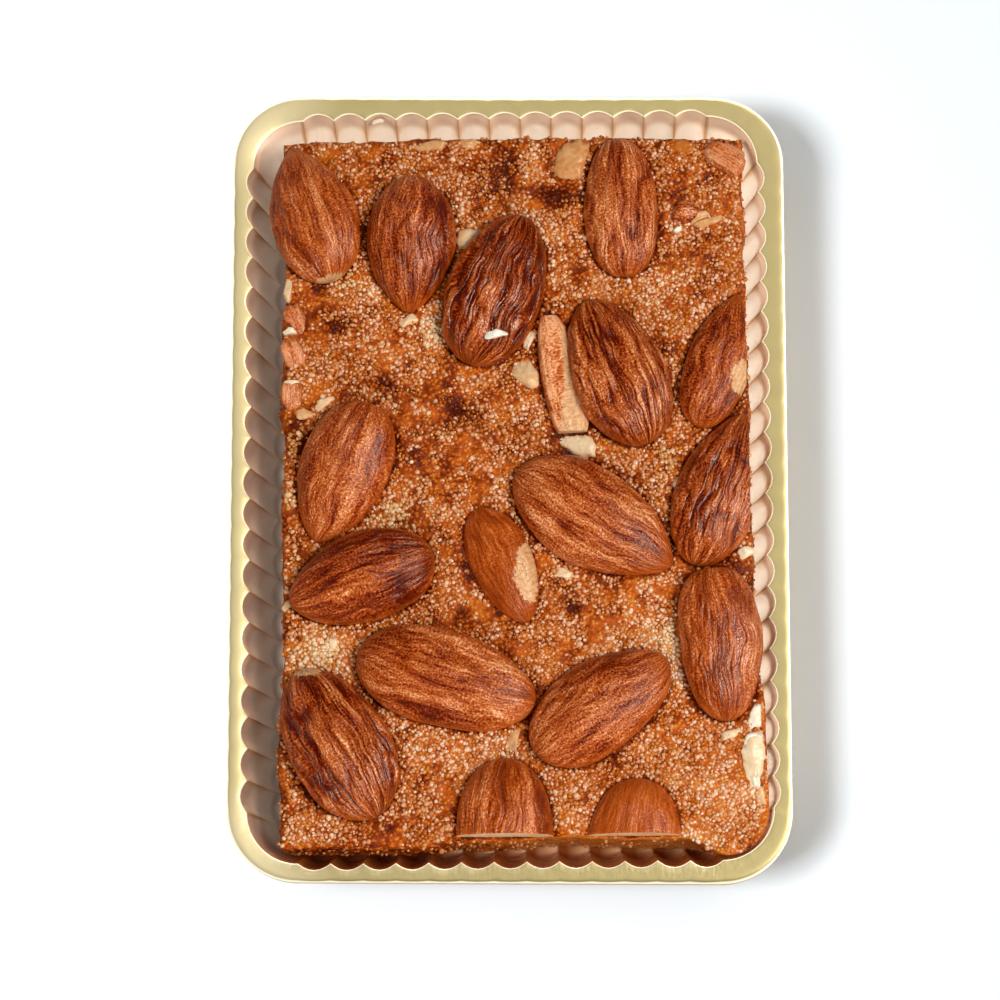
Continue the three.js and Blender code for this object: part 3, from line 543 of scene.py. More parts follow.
def skin_material(name, depth, dark, gloss, seed, bare=False, amber=0.0):
    """An almond's brown skin, wet with syrup: narrow furrows along it, broad streaks and fine wavy
    threads, plain orange syrup round its foot and, where bare is asked for, flesh where the skin is
    off. Amber is how much of that syrup covers the rest of it. The furrows and grooves are painted
    darker and the crests paler, as painted shade and light, and the foot's orange is partly painted glow."""
    material, tree, shader = new_material(name)
    fibre = attribute(tree, "fibre", "Vector")
    folds = max(0.0, 0.3 * (depth - 0.4))
    furrow = noise(tree, stretched(tree, fibre, 0.08, seed + 9), 0.9, 1.0, 0.5, 0.3)
    furrow = level(tree, maths(tree, "ABSOLUTE", maths(tree, "SUBTRACT", furrow, 0.5)), 0.0, 0.12)
    threads = noise(tree, stretched(tree, fibre, 0.16, seed), 2.4, 3.0, 0.65, 0.2)
    streaks = noise(tree, stretched(tree, fibre, 0.12, seed + 5), 0.55, 2.0, 0.5, 0.4)
    speckle = noise(tree, fibre, 3.6, 2.0, 0.7)
    blotch = noise(tree, fibre, 0.3, 3.0)
    # Painted light and shade: crests paler, grooves and furrows darker. The threads and speckle reach the
    # palest stop, which is partly painted sheen.
    mixed = summed(tree, 0.52 - 0.28 * dark, (attribute(tree, "crest"), 0.5, 0.3),
                   (attribute(tree, "groove"), 0.25, -0.1 - 0.14 * depth),
                   (furrow, 0.8, folds), (threads, 0.5, 1.2), (speckle, 0.5, 1.9),
                   (streaks, 0.5, 0.9), (blotch, 0.5, 0.5))
    foot = summed(tree, amber, (attribute(tree, "foot"), 0.0, FOOT_SYRUP - amber))
    colour = blend_colours(tree, foot, ramp(tree, mixed, SKIN), ramp(tree, threads, SYRUP))
    if bare:
        grain = noise(tree, fibre, 2.2, 4.0, 0.6)
        mask = level(tree, summed(tree, attribute(tree, "bare"), (grain, 0.5, 1.6)), -0.12, 0.12)
        colour = blend_colours(tree, mask, colour, ramp(tree, grain, FLESH))
    wet = level(tree, blotch, 0.4, 0.6)
    rough = maths(tree, "ADD", maths(tree, "MULTIPLY", wet, -0.08 - 0.10 * gloss), 0.36 - 0.08 * gloss)
    finish(tree, shader, colour, rough, 0.25 + 0.5 * gloss)
    first = bump(tree, shader, furrow, 0.0010 * folds, 0.8)
    second = bump(tree, shader, threads, 0.00016, 0.8, first)
    bump(tree, shader, speckle, 0.00010, 0.7, second)
    return material


def nut_material(name, tint=None):
    """Bare nut, from amber through tan to cream, soaked with syrup here and there. Its tint is one
    number, or is read from the mesh."""
    material, tree, shader = new_material(name)
    at = object_place(tree)
    soak = noise(tree, at, 420.0, 3.0)
    grain = noise(tree, at, 2200.0, 3.0)
    base = attribute(tree, "tint") if tint is None else summed(tree, tint, (soak, 0.5, 0.3))
    mixed = summed(tree, base, (soak, 0.5, 0.4), (grain, 0.5, 0.35))
    finish(tree, shader, ramp(tree, mixed, NUT), 0.32)
    shader.inputs["Subsurface Weight"].default_value = 0.15
    shader.inputs["Subsurface Radius"].default_value = (0.001, 0.0006, 0.0003)
    shader.inputs["Subsurface Scale"].default_value = 0.6
    bump(tree, shader, grain, 0.00012, 0.7)
    return material


# The tray

# How far out of the flutes' line the left rim's lift is complete, and where up the wall it begins
RIM_LIFTED = 2.3
LIFT_FROM = WALL_TOP - 1.5
# How much of a thin wall the outside is, where the gold coat shows more than inside
OUTSIDE_WALL = 0.7
# How much light each side of the tray lets through: right, back, left and front, and how much more
# the left one does towards the back. The same numbers paint shade into the inside of the walls:
# darkest on the front wall, darker on the left than on the right and back, and lighter towards the
# back on the left.
SIDE_THINNESS_AND_SHADE = (1.0, 1.0, 0.42, 0.02)
LEFT_BACK_THINNER_AND_LIGHTER = 0.12
# Where the points of a flute lie across it, from one crease to the next
PHASES = (0.0, 0.015, 0.05, 0.12, 0.21, 0.33, 0.5, 0.67, 0.79, 0.88, 0.95, 0.985)
CREASE_WIDTH = 0.03
CORNER_STEPS = 20


def tray_stations():
    """Points round the line of the flutes' sharp edges and, for each, the outward direction, the
    flute's depth, how much light that side lets through and how much painted shade it takes, how
    near a crease it is and how far across its flute. With them comes the way round to each point."""
    stations = []
    sides = ((FLUTES_LONG, TRAY_WIDTH / 2, TRAY_LENGTH / 2), (FLUTES_SHORT, TRAY_LENGTH / 2, TRAY_WIDTH / 2))
    for side in range(4):
        flutes, out, reach = sides[side % 2]
        thin_and_shade, next_thin_and_shade = SIDE_THINNESS_AND_SHADE[side], SIDE_THINNESS_AND_SHADE[(side + 1) % 4]
        half = reach - CORNER_RADIUS
        angle = side * math.pi / 2
        outward = np.array([math.cos(angle), math.sin(angle)])
        along = np.array([-outward[1], outward[0]])
        steps = [(flute + phase, phase) for flute in range(flutes) for phase in PHASES] + [(flutes, 0.0)]
        for step, phase in steps:
            place = outward * out + along * mix(-half, half, step / flutes)
            depth = FLUTE_DEPTH * (1 - (2 * phase - 1) ** 2)
            crease = math.exp(-min(phase, 1 - phase) / CREASE_WIDTH)
            stations.append([*place, *outward, depth, thin_and_shade, crease, phase if step else 0.5])
        centre = outward * (out - CORNER_RADIUS) + along * half
        for step in range(1, CORNER_STEPS):
            t = step / CORNER_STEPS
            turned = angle + t * math.pi / 2
            facing = np.array([math.cos(turned), math.sin(turned)])
            place = centre + facing * CORNER_RADIUS
            stations.append([*place, *facing, 0.0, mix(thin_and_shade, next_thin_and_shade, t), 0.0, 0.5])
    stations = np.array(stations)
    points, outwards = stations[:, :2], stations[:, 2:4]
    lengths = np.linalg.norm(np.roll(points, -1, 0) - points, axis=1)
    way = np.concatenate([[0.0], np.cumsum(lengths)[:-1]])
    return points, outwards, *stations[:, 4:].T, way


def tray_rows():
    """Rows from the floor up the wall, over the rim and back underneath: how far the row is outside
    the flutes' line, how much of the flutes it has, how far it has gone from there to the outer
    edge, its height, and how much of a wall it is."""
    foot = -WALL_DRAFT - FLUTE_TOP
    rows = [(foot - 1.2, 0.35, 0.0, FLOOR, 1.0), (foot - 0.5, 0.75, 0.0, FLOOR + 0.04, 1.0),
            (foot - 0.15, 0.95, 0.0, FLOOR + 0.22, 1.0), (foot, 1.0, 0.0, FLOOR + 0.6, 1.0)]
    rows += [(mix(foot, 0.0, t), 1.0, 0.0, mix(FLOOR + 0.6, WALL_TOP, t), 1.0)
             for t in np.linspace(0.1, 1.0, 10)]
    rows += [(0.015, 1.0, 0.0, WALL_TOP + 0.18, 0.6), (0.045, 1.0, 0.0, WALL_TOP + 0.33, 0.0),
             (0.09, 1.0, 0.0, WALL_TOP + 0.40, 0.0), (0.2, 1.0, 0.0, WALL_TOP + 0.43, 0.0)]
    crown = [(0.14, 0.44), (0.28, 0.455), (0.45, 0.47), (0.62, 0.48), (0.76, 0.475), (0.86, 0.43),
             (0.93, 0.31), (0.975, 0.12)]
    rows += [(0.2, 1.0, t, WALL_TOP + up, 0.0) for t, up in crown]
    rows += [(0.0, 1.0, 1.0, z, 0.0) for z in (13.3, 12.9, TRAY_HEIGHT - SKIRT)]
    rows += [(-SHEET, 1.0, 1.0, z, 0.0) for z in (TRAY_HEIGHT - SKIRT, 12.9, 13.15)]
    rows += [(0.2, 1.0, t - 0.08, WALL_TOP + up - SHEET, 0.0) for t, up in reversed(crown[1:-2])]
    rows += [(SHEET, 1.0, 0.0, WALL_TOP - 0.3, 0.5)]
    rows += [(mix(0.0, foot, t) + SHEET, 1.0, 0.0, mix(WALL_TOP - 0.5, 0.45, t), OUTSIDE_WALL)
             for t in np.linspace(0.1, 1.0, 8)]
    rows += [(foot + 0.25, 0.95, 0.0, 0.12, OUTSIDE_WALL), (foot - 0.2, 0.75, 0.0, 0.0, 1.0)]
    return rows


def build_tray(gold):
    """The tray's sheet, with what its material reads: how much of a wall, how brushed, how low on the
    wall for the painted light and shade, how much painted highlight and glare each row takes at a
    rolled edge or on the left rim, and the stations' own marks."""
    points, outwards, depths, thin_and_shade, creases, phases, way = tray_stations()
    x, y = points[:, 0], points[:, 1]
    across, along = x / (TRAY_WIDTH / 2), y / (TRAY_LENGTH / 2)
    bend = np.column_stack([
        np.clip(across, 0, None) * (RIGHT_FLARE + BACK_FLARE * along),
        mix(FRONT_SHIFT, BACK_SHIFT, (along + 1) / 2) - END_TURN * x,
        LEFT_LIFT * np.clip(-across, 0, None)])
    count = len(points)
    thin_and_shade = thin_and_shade + LEFT_BACK_THINNER_AND_LIGHTER * smooth(y, 12, 36) * (across < -0.95)
    # Painted glare on the left rim, most at its corners
    pale = smooth(-across, 0.6, 0.97) * mix(0.10, 0.22, smooth(np.abs(y), 36, 46))
    layers, wall, hatch, lower_wall_light, edge = [], [], [], [], []
    front = smooth(-y, 34, 44) * mix(1.0, 0.35, smooth(x, 24, 31)) + 0.5 * smooth(y, 42, 46) + 0.25
    for beyond, share, reach, height, wall_share in tray_rows():
        scallop = FLUTE_TOP + share * depths + beyond
        out = mix(scallop, RIM_WIDTH + np.minimum(beyond, 0), reach)
        wave = 0.05 * bumps(way / 6, height * 0.4, 41) * (height > 2.0) * (reach == 0)
        lifted = 1 - (1 - np.clip(out / RIM_LIFTED, 0, 1)) ** 2 if height > LIFT_FROM else 0.0
        place_xy = points + outwards * (out + wave)[:, None] + bend[:, :2] * reach
        layers.append(np.column_stack([place_xy, height + bend[:, 2] * lifted]))
        # Lower on the wall the walls are painted paler, higher up darker: painted light and shade
        lower_wall_light.append(np.full(count, 1 - smooth(height, 1.0, WALL_TOP)))
        rolled = 0.03 < beyond < 0.1 or (beyond == 0.2 and 0.9 < reach < 1)
        edge.append(np.maximum(pale, 1.0 if rolled else 0.0))
        wall.append(np.full(count, wall_share))
        hatch.append(front * (1 - reach) * (wall_share == 0))
    verts = np.concatenate([*layers, [[0, 0, FLOOR], [0, 0, 0]]])
    first, last = np.arange(count), (len(layers) - 1) * count + np.arange(count)
    middle, under = len(verts) - 2, len(verts) - 1
    after = (np.arange(count) + 1) % count
    fans = np.concatenate([np.stack([np.full(count, middle), first, first[after]], 1),
                           np.stack([np.full(count, under), last[after], last], 1)])
    faces = ring_faces(len(layers), count)[:, ::-1]
    piece = add_mesh("tray_sheet", verts, np.concatenate([split(faces), fans]), [gold])
    by_row = {"wall": (wall, 1.0), "hatch": (hatch, 0.0), "lower_wall_light": (lower_wall_light, 1.0), "edge": (edge, 0.0)}
    by_station = {"round": (way, 0.0), "thin_and_shade": (thin_and_shade, 0.3), "crease": (creases, 0.0), "phase": (phases, 0.5)}
    add_values(piece, **{name: np.concatenate([*values, [at_middle] * 2])
                         for name, (values, at_middle) in by_row.items()})
    add_values(piece, **{name: np.concatenate([np.tile(values, len(layers)), [at_middle] * 2])
                         for name, (values, at_middle) in by_station.items()})
    return piece


def inside_tray(x, y, z, gap):
    """The nearest places inside the tray's walls at height z that keep a gap to them."""
    inset = WALL_DRAFT * (1 - np.clip((z - FLOOR) / (WALL_TOP - FLOOR), 0, 1)) + gap
    half_width, half_length = TRAY_WIDTH / 2 - inset, TRAY_LENGTH / 2 - inset
    radius = CORNER_RADIUS - inset
    px, py = np.clip(x, -half_width, half_width), np.clip(y, -half_length, half_length)
    corner_x = np.sign(px) * (TRAY_WIDTH / 2 - CORNER_RADIUS)
    corner_y = np.sign(py) * (TRAY_LENGTH / 2 - CORNER_RADIUS)
    dx, dy = px - corner_x, py - corner_y
    reach = np.maximum(np.hypot(dx, dy), 1e-6)
    over = (dx * np.sign(px) > 0) & (dy * np.sign(py) > 0) & (reach > radius)
    px = np.where(over, corner_x + dx * radius / reach, px)
    py = np.where(over, corner_y + dy * radius / reach, py)
    return px, py


# The slab

def slab_edges(x, y):
    """Left, right, front and back edges of the slab beside the point x, y."""
    def ragged(along, seed):
        return EDGE_RAGGED * bumps(along / 5, 0.0, seed) + 0.12 * bumps(along / 0.9, 3.0, seed)
    left = SLAB_LEFT + ragged(y, 11)
    right = SLAB_RIGHT + RIGHT_LEAN * (1 - smooth(y, -30, -18)) + ragged(y, 12)
    slump = FRONT_SLUMP * (1 - smooth(x, -11, -7))
    swell = FRONT_SWELL * smooth(x, 21, 26)
    front = SLAB_FRONT - slump - swell + ragged(x, 14)
    back = SLAB_BACK + ragged(x, 13)
    return left, right, front, back


def almond_outline(s, almond):
    """How wide an almond is at a place along it, from -1 at its round end to 1 at its pointed end."""
    front = np.clip(s - WIDEST, 0, None) / (1 - WIDEST)
    rear = np.clip(WIDEST - s, 0, None) / (1 + WIDEST)
    tip = np.clip(1 - front ** 1.9, 0, 1) ** almond.get("tip", TIP)
    blunt = np.clip(1 - rear ** 2.2, 0, 1) ** almond.get("blunt", BLUNT)
    return np.where(s > WIDEST, tip, blunt)


def along_almond(almond, x, y):
    """Places seen from above, along an almond towards its pointed end and across it to the left."""
    turn = math.radians(almond["heading"])
    dx, dy = x - almond["at"][0], y - almond["at"][1]
    return dx * math.cos(turn) + dy * math.sin(turn), dy * math.cos(turn) - dx * math.sin(turn)


def beside_almonds(x, y):
    """How far each point is outside the nearest almond's outline, less than 0 inside it."""
    nearest = np.full(np.shape(x), 99.0)
    for almond in ALMONDS.values():
        half_length, half_width = almond["size"][0] / 2, almond["size"][1] / 2
        u, v = along_almond(almond, x, y)
        aside = np.abs(v) - half_width * almond_outline(np.clip(u / half_length, -1, 1), almond)
        beyond = np.clip(np.abs(u) - half_length, 0, None)
        distance = np.where(beyond > 0, np.hypot(beyond, np.clip(aside, 0, None)), aside)
        nearest = np.minimum(nearest, np.where(np.hypot(u, v) < half_length + 4, distance, 99.0))
    return nearest


def crust_tone(x, y):
    """0 burnt to 1 pale, from broad noise and the patches."""
    tone = 0.52 + 0.13 * bumps(x / 4.3, y / 4.3, 51) + 0.16 * bumps(x / 1.9, y / 1.9, 52)
    for px, py, radius, change in PATCHES:
        tone = tone + change * np.exp(-((x - px) ** 2 + (y - py) ** 2) / radius ** 2)
    return tone


def crust_raw(x, y):
    """How raw and yellow the grains are, from 0 to 1."""
    raw = 0.0
    for px, py, radius in RAW:
        raw = raw + np.exp(-((x - px) ** 2 + (y - py) ** 2) / radius ** 2)
    return np.clip(raw, 0, 1)


def crust_height(x, y):
    """The height of the slab's top, lower along its edges and round the almonds."""
    height = SLAB_TOP + SLAB_RELIEF * (0.6 * bumps(x / 7, y / 7, 21) + 0.5 * bumps(x / 2.7, y / 2.7, 22))
    height = height + 0.10 * bumps(x / 1.1, y / 1.1, 23) + 0.06 * bumps(x / 0.5, y / 0.5, 24)
    height = height - 0.4 * np.exp(-np.clip(beside_almonds(x, y), 0, None) / 0.5)
    left, right, front, back = slab_edges(x, y)
    inward = np.minimum.reduce([x - left, right - x, y - front, back - y])
    return height - EDGE_DROP * np.exp(-np.clip(inward, 0, None) / 0.7)


def cut_share(x, y):
    """How much of a smooth knife cut the slab's side is: only on the right of its front."""
    return (y < SLAB_FRONT + 1.5) * smooth(x, -10, 6)


def build_core(crumb, columns=176, lines=270, side_rows=26):
    """The slab's grainy top and craggy sides, with the points of its sides and the way they face."""
    u, v = np.meshgrid(np.linspace(0, 1, columns + 1), np.linspace(0, 1, lines + 1))
    straight_x, straight_y = mix(SLAB_LEFT, SLAB_RIGHT, u), mix(SLAB_FRONT, SLAB_BACK, v)
    left, right, front, back = slab_edges(straight_x, straight_y)
    x, y = mix(left, right, u), mix(front, back, v)
    x, y = inside_tray(x, y, SLAB_TOP, GAP)
    z = crust_height(x, y)
    top = np.stack([x, y, z], -1).reshape(-1, 3)
    # The crust is painted darker round the almonds: painted shade in the crevices beside them
    tone = crust_tone(x, y) - 0.3 * np.exp(-np.clip(beside_almonds(x, y), 0, None) / 0.4)
    index = np.arange((columns + 1) * (lines + 1)).reshape(lines + 1, columns + 1)
    a, b, c, d = index[:-1, :-1], index[:-1, 1:], index[1:, 1:], index[1:, :-1]
    faces = np.stack([a, b, c, d], -1).reshape(-1, 4)
    ring = np.concatenate([index[0, :-1], index[:-1, -1], index[-1, :0:-1], index[:0:-1, 0]])
    edge = top[ring]
    tangent = np.roll(edge, -2, 0) - np.roll(edge, 2, 0)
    outward = np.stack([tangent[:, 1], -tangent[:, 0]], 1)
    outward /= np.maximum(np.linalg.norm(outward, axis=1), 1e-6)[:, None]
    outward = (outward + np.roll(outward, 3, 0) + np.roll(outward, -3, 0)) / 3
    way = np.cumsum(np.linalg.norm(np.roll(edge, -1, 0) - edge, axis=1))
    layers = []
    for row in range(1, side_rows + 1):
        t = row / side_rows
        z = mix(edge[:, 2], SLAB_BASE, t)
        smoothed = mix(1.0, 0.3, cut_share(edge[:, 0], edge[:, 1]))
        crags = 0.34 * bumps(way / 2.6, t * 5.0, 31) + 0.2 * bumps(way / 1.0, t * 13.0, 32)
        push = 0.25 + smoothed * (crags + 0.1 * bumps(way / 0.5, t * 27.0, 33)) * min(1.0, t * 6)
        x, y = inside_tray(edge[:, 0] + outward[:, 0] * push, edge[:, 1] + outward[:, 1] * push, z, GAP)
        layers.append(np.column_stack([x, y, z]))
    count, start = len(ring), len(top)
    side = np.concatenate(layers)
    quads = ring_faces(side_rows, count)[:, ::-1] + start
    i, after = np.arange(count), (np.arange(count) + 1) % count
    join = np.stack([ring[i], start + i, start + after, ring[after]], 1)
    last, bottom = start + (side_rows - 1) * count, len(top) + len(side)
    fan = np.stack([np.full(count, bottom), last + after, last + i], 1)
    triangles = np.concatenate([split(np.concatenate([faces, quads, join])), fan])
    piece = add_mesh("cake_core", np.concatenate([top, side, [[0, 0, SLAB_BASE]]]), triangles, [crumb])
    cut_face_light = cut_share(side[:, 0], side[:, 1])
    # The knife-cut face is painted paler: painted light standing in for the light it gets
    side_tone = 0.36 + 0.6 * cut_face_light + 0.14 * bumps(np.tile(way, side_rows) / 3, side[:, 2] / 2, 53)
    add_values(piece, tone=np.concatenate([tone.ravel(), side_tone, [0.4]]))
    return piece, side, np.tile(outward, (side_rows, 1))


def bead():
    """Points and triangles of a small round grain of unit size."""
    sides = 7
    rings = []
    for polar, start in ((0.75, 0.0), (1.55, 0.5)):
        angle = 2 * math.pi * (np.arange(sides) + start) / sides
        rings.insert(0, np.column_stack([math.sin(polar) * np.cos(angle), math.sin(polar) * np.sin(angle),
                                         np.full(sides, math.cos(polar))]))
    return closed_rings(rings, [0, 0, -1], [0, 0, 1])


def scatter_beads(name, centres, radii, tints, material):
    """One joined mesh of a grain at each centre, each a little squeezed, tilted and turned."""
    unit, triangles = bead()
    count = len(centres)
    turn, lean = rng.uniform(0, 2 * math.pi, count), rng.normal(0, 0.35, count)
    shaped = unit[None] * rng.uniform(0.7, 1.25, (count, 1, 3)) * radii[:, None, None]
    cos, sin = np.cos(lean)[:, None], np.sin(lean)[:, None]
    y, z = shaped[..., 1] * cos - shaped[..., 2] * sin, shaped[..., 1] * sin + shaped[..., 2] * cos
    x = shaped[..., 0]
    cos, sin = np.cos(turn)[:, None], np.sin(turn)[:, None]
    points = np.stack([x * cos - y * sin, x * sin + y * cos, z], -1) + centres[:, None, :]
    faces = triangles[None] + (np.arange(count) * len(unit))[:, None, None]
    piece = add_mesh(name, points.reshape(-1, 3), faces.reshape(-1, 3), [material])
    add_values(piece, tint=np.repeat(tints, len(unit)))
    return piece


def bead_places(spacing):
    """Places all over the crust: an uneven lattice."""
    columns = np.arange(SLAB_LEFT - 1, SLAB_RIGHT + 3, spacing)
    lines = np.arange(SLAB_FRONT - 4, SLAB_BACK + 1, spacing * 0.87)
    x, y = np.meshgrid(columns, lines)
    x = x + (np.arange(len(lines)) % 2)[:, None] * spacing / 2
    x = x + rng.uniform(-0.42, 0.42, x.shape) * spacing
    y = y + rng.uniform(-0.42, 0.42, y.shape) * spacing
    left, right, front, back = slab_edges(x, y)
    inside = (x > left + 0.15) & (x < right - 0.15) & (y > front + 0.15) & (y < back - 0.15)
    px, py = inside_tray(x, y, SLAB_TOP, 0.5)
    inside &= (np.abs(px - x) < 0.01) & (np.abs(py - y) < 0.01)
    return x[inside], y[inside]


BEAD_SPACING, SIDE_BEADS = 0.46, 3600
# The grains' radius, and above which draw a grain is pale or tan
BEAD_RADIUS, BEAD_UNEVEN = 0.27, 0.05
SIDE_BEAD_RADIUS = 0.26
PALE_KIND, TAN_KIND = 0.55, 0.24


def build_beads(side, side_outward):
    """The grains of semolina: dense patches of them on the crust, and fewer on the slab's sides."""
    x, y = bead_places(BEAD_SPACING)
    free = beside_almonds(x, y) > 0.05
    x, y = x[free], y[free]
    cover = 1.2 * bumps(x / 1.3, y / 1.3, 61) + 0.6 * bumps(x / 3.7, y / 3.7, 62)
    tone, raw = crust_tone(x, y), crust_raw(x, y)
    keep = cover + 1.2 * (tone - 0.5) + 0.5 * raw + rng.normal(0, 0.25, len(x)) > -0.45
    x, y, cover, tone, raw = x[keep], y[keep], cover[keep], tone[keep], raw[keep]
    radius = np.clip(rng.normal(BEAD_RADIUS, BEAD_UNEVEN, len(x)), 0.15, 0.42) * (1 + 0.15 * raw)
    sunk = rng.uniform(-0.6, 0.15, len(x)) + 0.15 * np.clip(cover, -1, 1)
    centres = np.column_stack([x, y, crust_height(x, y) + radius * sunk])
    tint = np.clip(0.5 + 0.9 * (tone - 0.5) + rng.normal(0, 0.22, len(x)), 0, 1)
    kind = rng.uniform(0, 1, len(x)) + 0.6 * (tone - 0.5)
    uncooked = raw > rng.uniform(0.25, 0.9, len(x))
    tan = grain_material("bead_tan", TAN_GRAIN, 0.15)
    kinds = (
        ("pale", grain_material("bead_pale", PALE_GRAIN, 0.15), ~uncooked & (kind > PALE_KIND)),
        ("tan", tan, ~uncooked & (kind <= PALE_KIND) & (kind > TAN_KIND)),
        ("amber", grain_material("bead_amber", AMBER_GRAIN, 0.18), ~uncooked & (kind <= TAN_KIND)),
        ("raw", grain_material("bead_raw", RAW_GRAIN, 0.22), uncooked),
    )
    pieces = [scatter_beads("beads_" + name, centres[chosen], radius[chosen], tint[chosen], material)
              for name, material, chosen in kinds]
    pick = rng.choice(len(side), SIDE_BEADS, replace=False)
    pick = pick[rng.uniform(0, 1, len(pick)) > 0.85 * cut_share(side[pick, 0], side[pick, 1])]
    spots = side[pick] + rng.uniform(-0.2, 0.2, (len(pick), 3))
    spots[:, :2] -= side_outward[pick] * 0.08
    spots[:, 2] = np.maximum(spots[:, 2], SLAB_BASE + 0.35)
    spots[:, 0], spots[:, 1] = inside_tray(spots[:, 0], spots[:, 1], spots[:, 2], 0.55)
    side_radius = np.clip(rng.normal(SIDE_BEAD_RADIUS, BEAD_UNEVEN, len(pick)), 0.15, 0.4)
    cut_face_light = cut_share(spots[:, 0], spots[:, 1])
    # Grains on the cut face are painted paler too: painted light
    side_tint = np.clip(rng.normal(0.5, 0.25, len(pick)) + 0.4 * cut_face_light, 0, 1)
    pieces.append(scatter_beads("beads_side", spots, side_radius, side_tint, tan))
    return pieces


# The almonds

def almond_lift(q, x, seed, depth):
    """Relief of an almond's skin, how high its crests are and how deep its grooves, across q and
    along x: rounded ridges between narrow grooves that run along it, with finer wrinkles. The crest
    and groove marks paint the crests paler and the grooves darker, as painted light and shade."""
    sway = bumps(x / 5, q / 4, seed)
    broad = bumps((q + 0.5 * sway) / 3.2, x / 9, seed + 1)
    ridge = np.abs(bumps((q + 1.2 * sway) / 1.3, x / 8, seed + 2)) ** 0.6
    rib = bumps((q + 1.5 * sway) / 0.6, x / 4.5, seed + 3)
    fine = bumps(q / 0.3, x / 2.2, seed + 4)
    lift = 0.16 * broad + depth * (0.32 * (ridge - 0.6) + 0.10 * rib) + 0.035 * fine
    crest = np.clip(0.16 + 0.62 * ridge + 0.17 * rib + 0.12 * fine + 0.08 * broad, 0, 1)
    groove = np.clip(1 - ridge / 0.5 - 0.2 * rib, 0, 1)
    return lift, crest, groove


def almond_mesh(almond, depth, seed, rings=80, upper=60, lower=14):
    """Points and triangles of an almond and, for each point, fibre coordinates, how much it is of a
    crest, of a groove and of the almond's foot, and its place seen from above."""
    half_length, half_width = almond["size"][0] / 2, almond["size"][1] / 2
    half_height = half_width * ALMOND_THICKNESS
    brim = math.radians(BRIM_ANGLE)
    s = -np.cos(np.linspace(0, math.pi, rings + 2)[1:-1])
    angle = np.concatenate([
        np.linspace(-math.pi / 2, -brim, lower // 2, endpoint=False),
        np.linspace(-brim, math.pi + brim, upper, endpoint=False),
        np.linspace(math.pi + brim, 1.5 * math.pi, lower // 2, endpoint=False)])
    s, angle = np.meshgrid(s, angle, indexing="ij")
    outline = almond_outline(s, almond)
    x = half_length * s
    q = half_width * np.cos(angle) * mix(1.0, outline, 0.45)
    lift, crest, groove = almond_lift(q, x, seed, depth)
    lift = lift * outline ** 0.6
    cos, sin = (np.sign(part) * np.abs(part) ** almond.get("square", 1.0)
                for part in (np.cos(angle), np.sin(angle)))
    y = (half_width * outline + lift) * cos + 0.2 * bumps(s * 1.3 + 7.0, 0.0, seed + 8) * outline
    z = (half_height * outline ** 0.85 + lift) * sin
    ends = [(-half_length, 0.0, 0.0), (half_length, 0.0, 0.0)]
    points, triangles = closed_rings(np.stack([x, y, z], -1), *ends)
    drift = 0.5 * bumps(x / 3.5, q / 3, seed + 5) + 0.2 * bumps(x / 1.3, q / 1.5, seed + 6)
    fibre = np.stack([x, q + drift + 0.6 * np.sin(angle), np.full_like(x, seed * 1.0)], -1).reshape(-1, 3)
    fibre = np.concatenate([fibre, [(end[0], 0.0, seed) for end in ends]])
    foot = 1 - smooth(np.sin(angle) * outline, 0.08, 0.5)
    marks = {name: np.concatenate([values.ravel(), ends_here]) for name, values, ends_here in (
        ("crest", crest, [0.4, 0.7]), ("groove", groove, [0.3, 0.3]), ("foot", foot, [1.0, 1.0]))}
    turn = (Matrix.Rotation(math.radians(almond["heading"]), 3, "Z")
            @ Matrix.Rotation(math.radians(-almond.get("pitch", 0)), 3, "Y")
            @ Matrix.Rotation(math.radians(almond.get("roll", 0)), 3, "X"))
    seen = points[:, :2]
    points = points @ np.array(turn).T + np.array(almond["at"]) + [0, 0, SLAB_TOP]
    return points, triangles, fibre, marks, seen


def cut_flat(piece, at, facing, flesh_index=1):
    """Slices a piece off beyond a plane, given in millimetres, and closes it with flat flesh."""
    made = bmesh.new()
    made.from_mesh(piece.data)
    result = bmesh.ops.bisect_plane(made, geom=[*made.verts, *made.edges, *made.faces],
                                    plane_co=Vector(at) * MM, plane_no=Vector(facing), clear_outer=True)
    rim = [e for e in result["geom_cut"] if isinstance(e, bmesh.types.BMEdge)]
    filled = bmesh.ops.triangle_fill(made, use_beauty=True, use_dissolve=False, edges=rim,
                                     normal=Vector(facing))
    for face in filled["geom"]:
        if isinstance(face, bmesh.types.BMFace):
            face.material_index = flesh_index
            face.smooth = False
    made.to_mesh(piece.data)
    made.free()


# Where a knife or a break went through an almond: a point on the plane and the side cut away
CUTS = {
    "almond_06": [((SLAB_RIGHT, 0, 0), (1, 0, 0))],
    "almond_07": [((SLAB_RIGHT, 0, 0), (1, 0, 0))],
    "almond_15": [((0, SLAB_FRONT, 0), (0, -1, 0))],
    "almond_16": [((0, SLAB_FRONT, 0), (0, -1, 0))],
    "almond_sliver": [((0, 5.8, 0), (0.05, -1, 0)), ((0, 21.3, 0), (-0.05, 1, 0))],
}


def build_almonds(flesh):
    pieces = []
    for number, (name, almond) in enumerate(ALMONDS.items()):
        depth, dark, gloss = SKINS[name]
        points, faces, fibre, marks, seen = almond_mesh(almond, depth, 100 + 10 * number)
        skin = skin_material("skin_" + name, depth, dark, gloss, number, name in BARE, AMBER.get(name, 0.0))
        piece = add_mesh(name + "_skin", points, faces, [skin, flesh])
        add_values(piece, fibre=fibre, **marks)
        if name in BARE:
            add_values(piece, bare=inside_outline(seen[:, 0], seen[:, 1], BARE[name]))
        for at, facing in CUTS.get(name, []):
            cut_flat(piece, at, facing)
        pieces.append((piece, name))
    return pieces


# Broken bits and chips

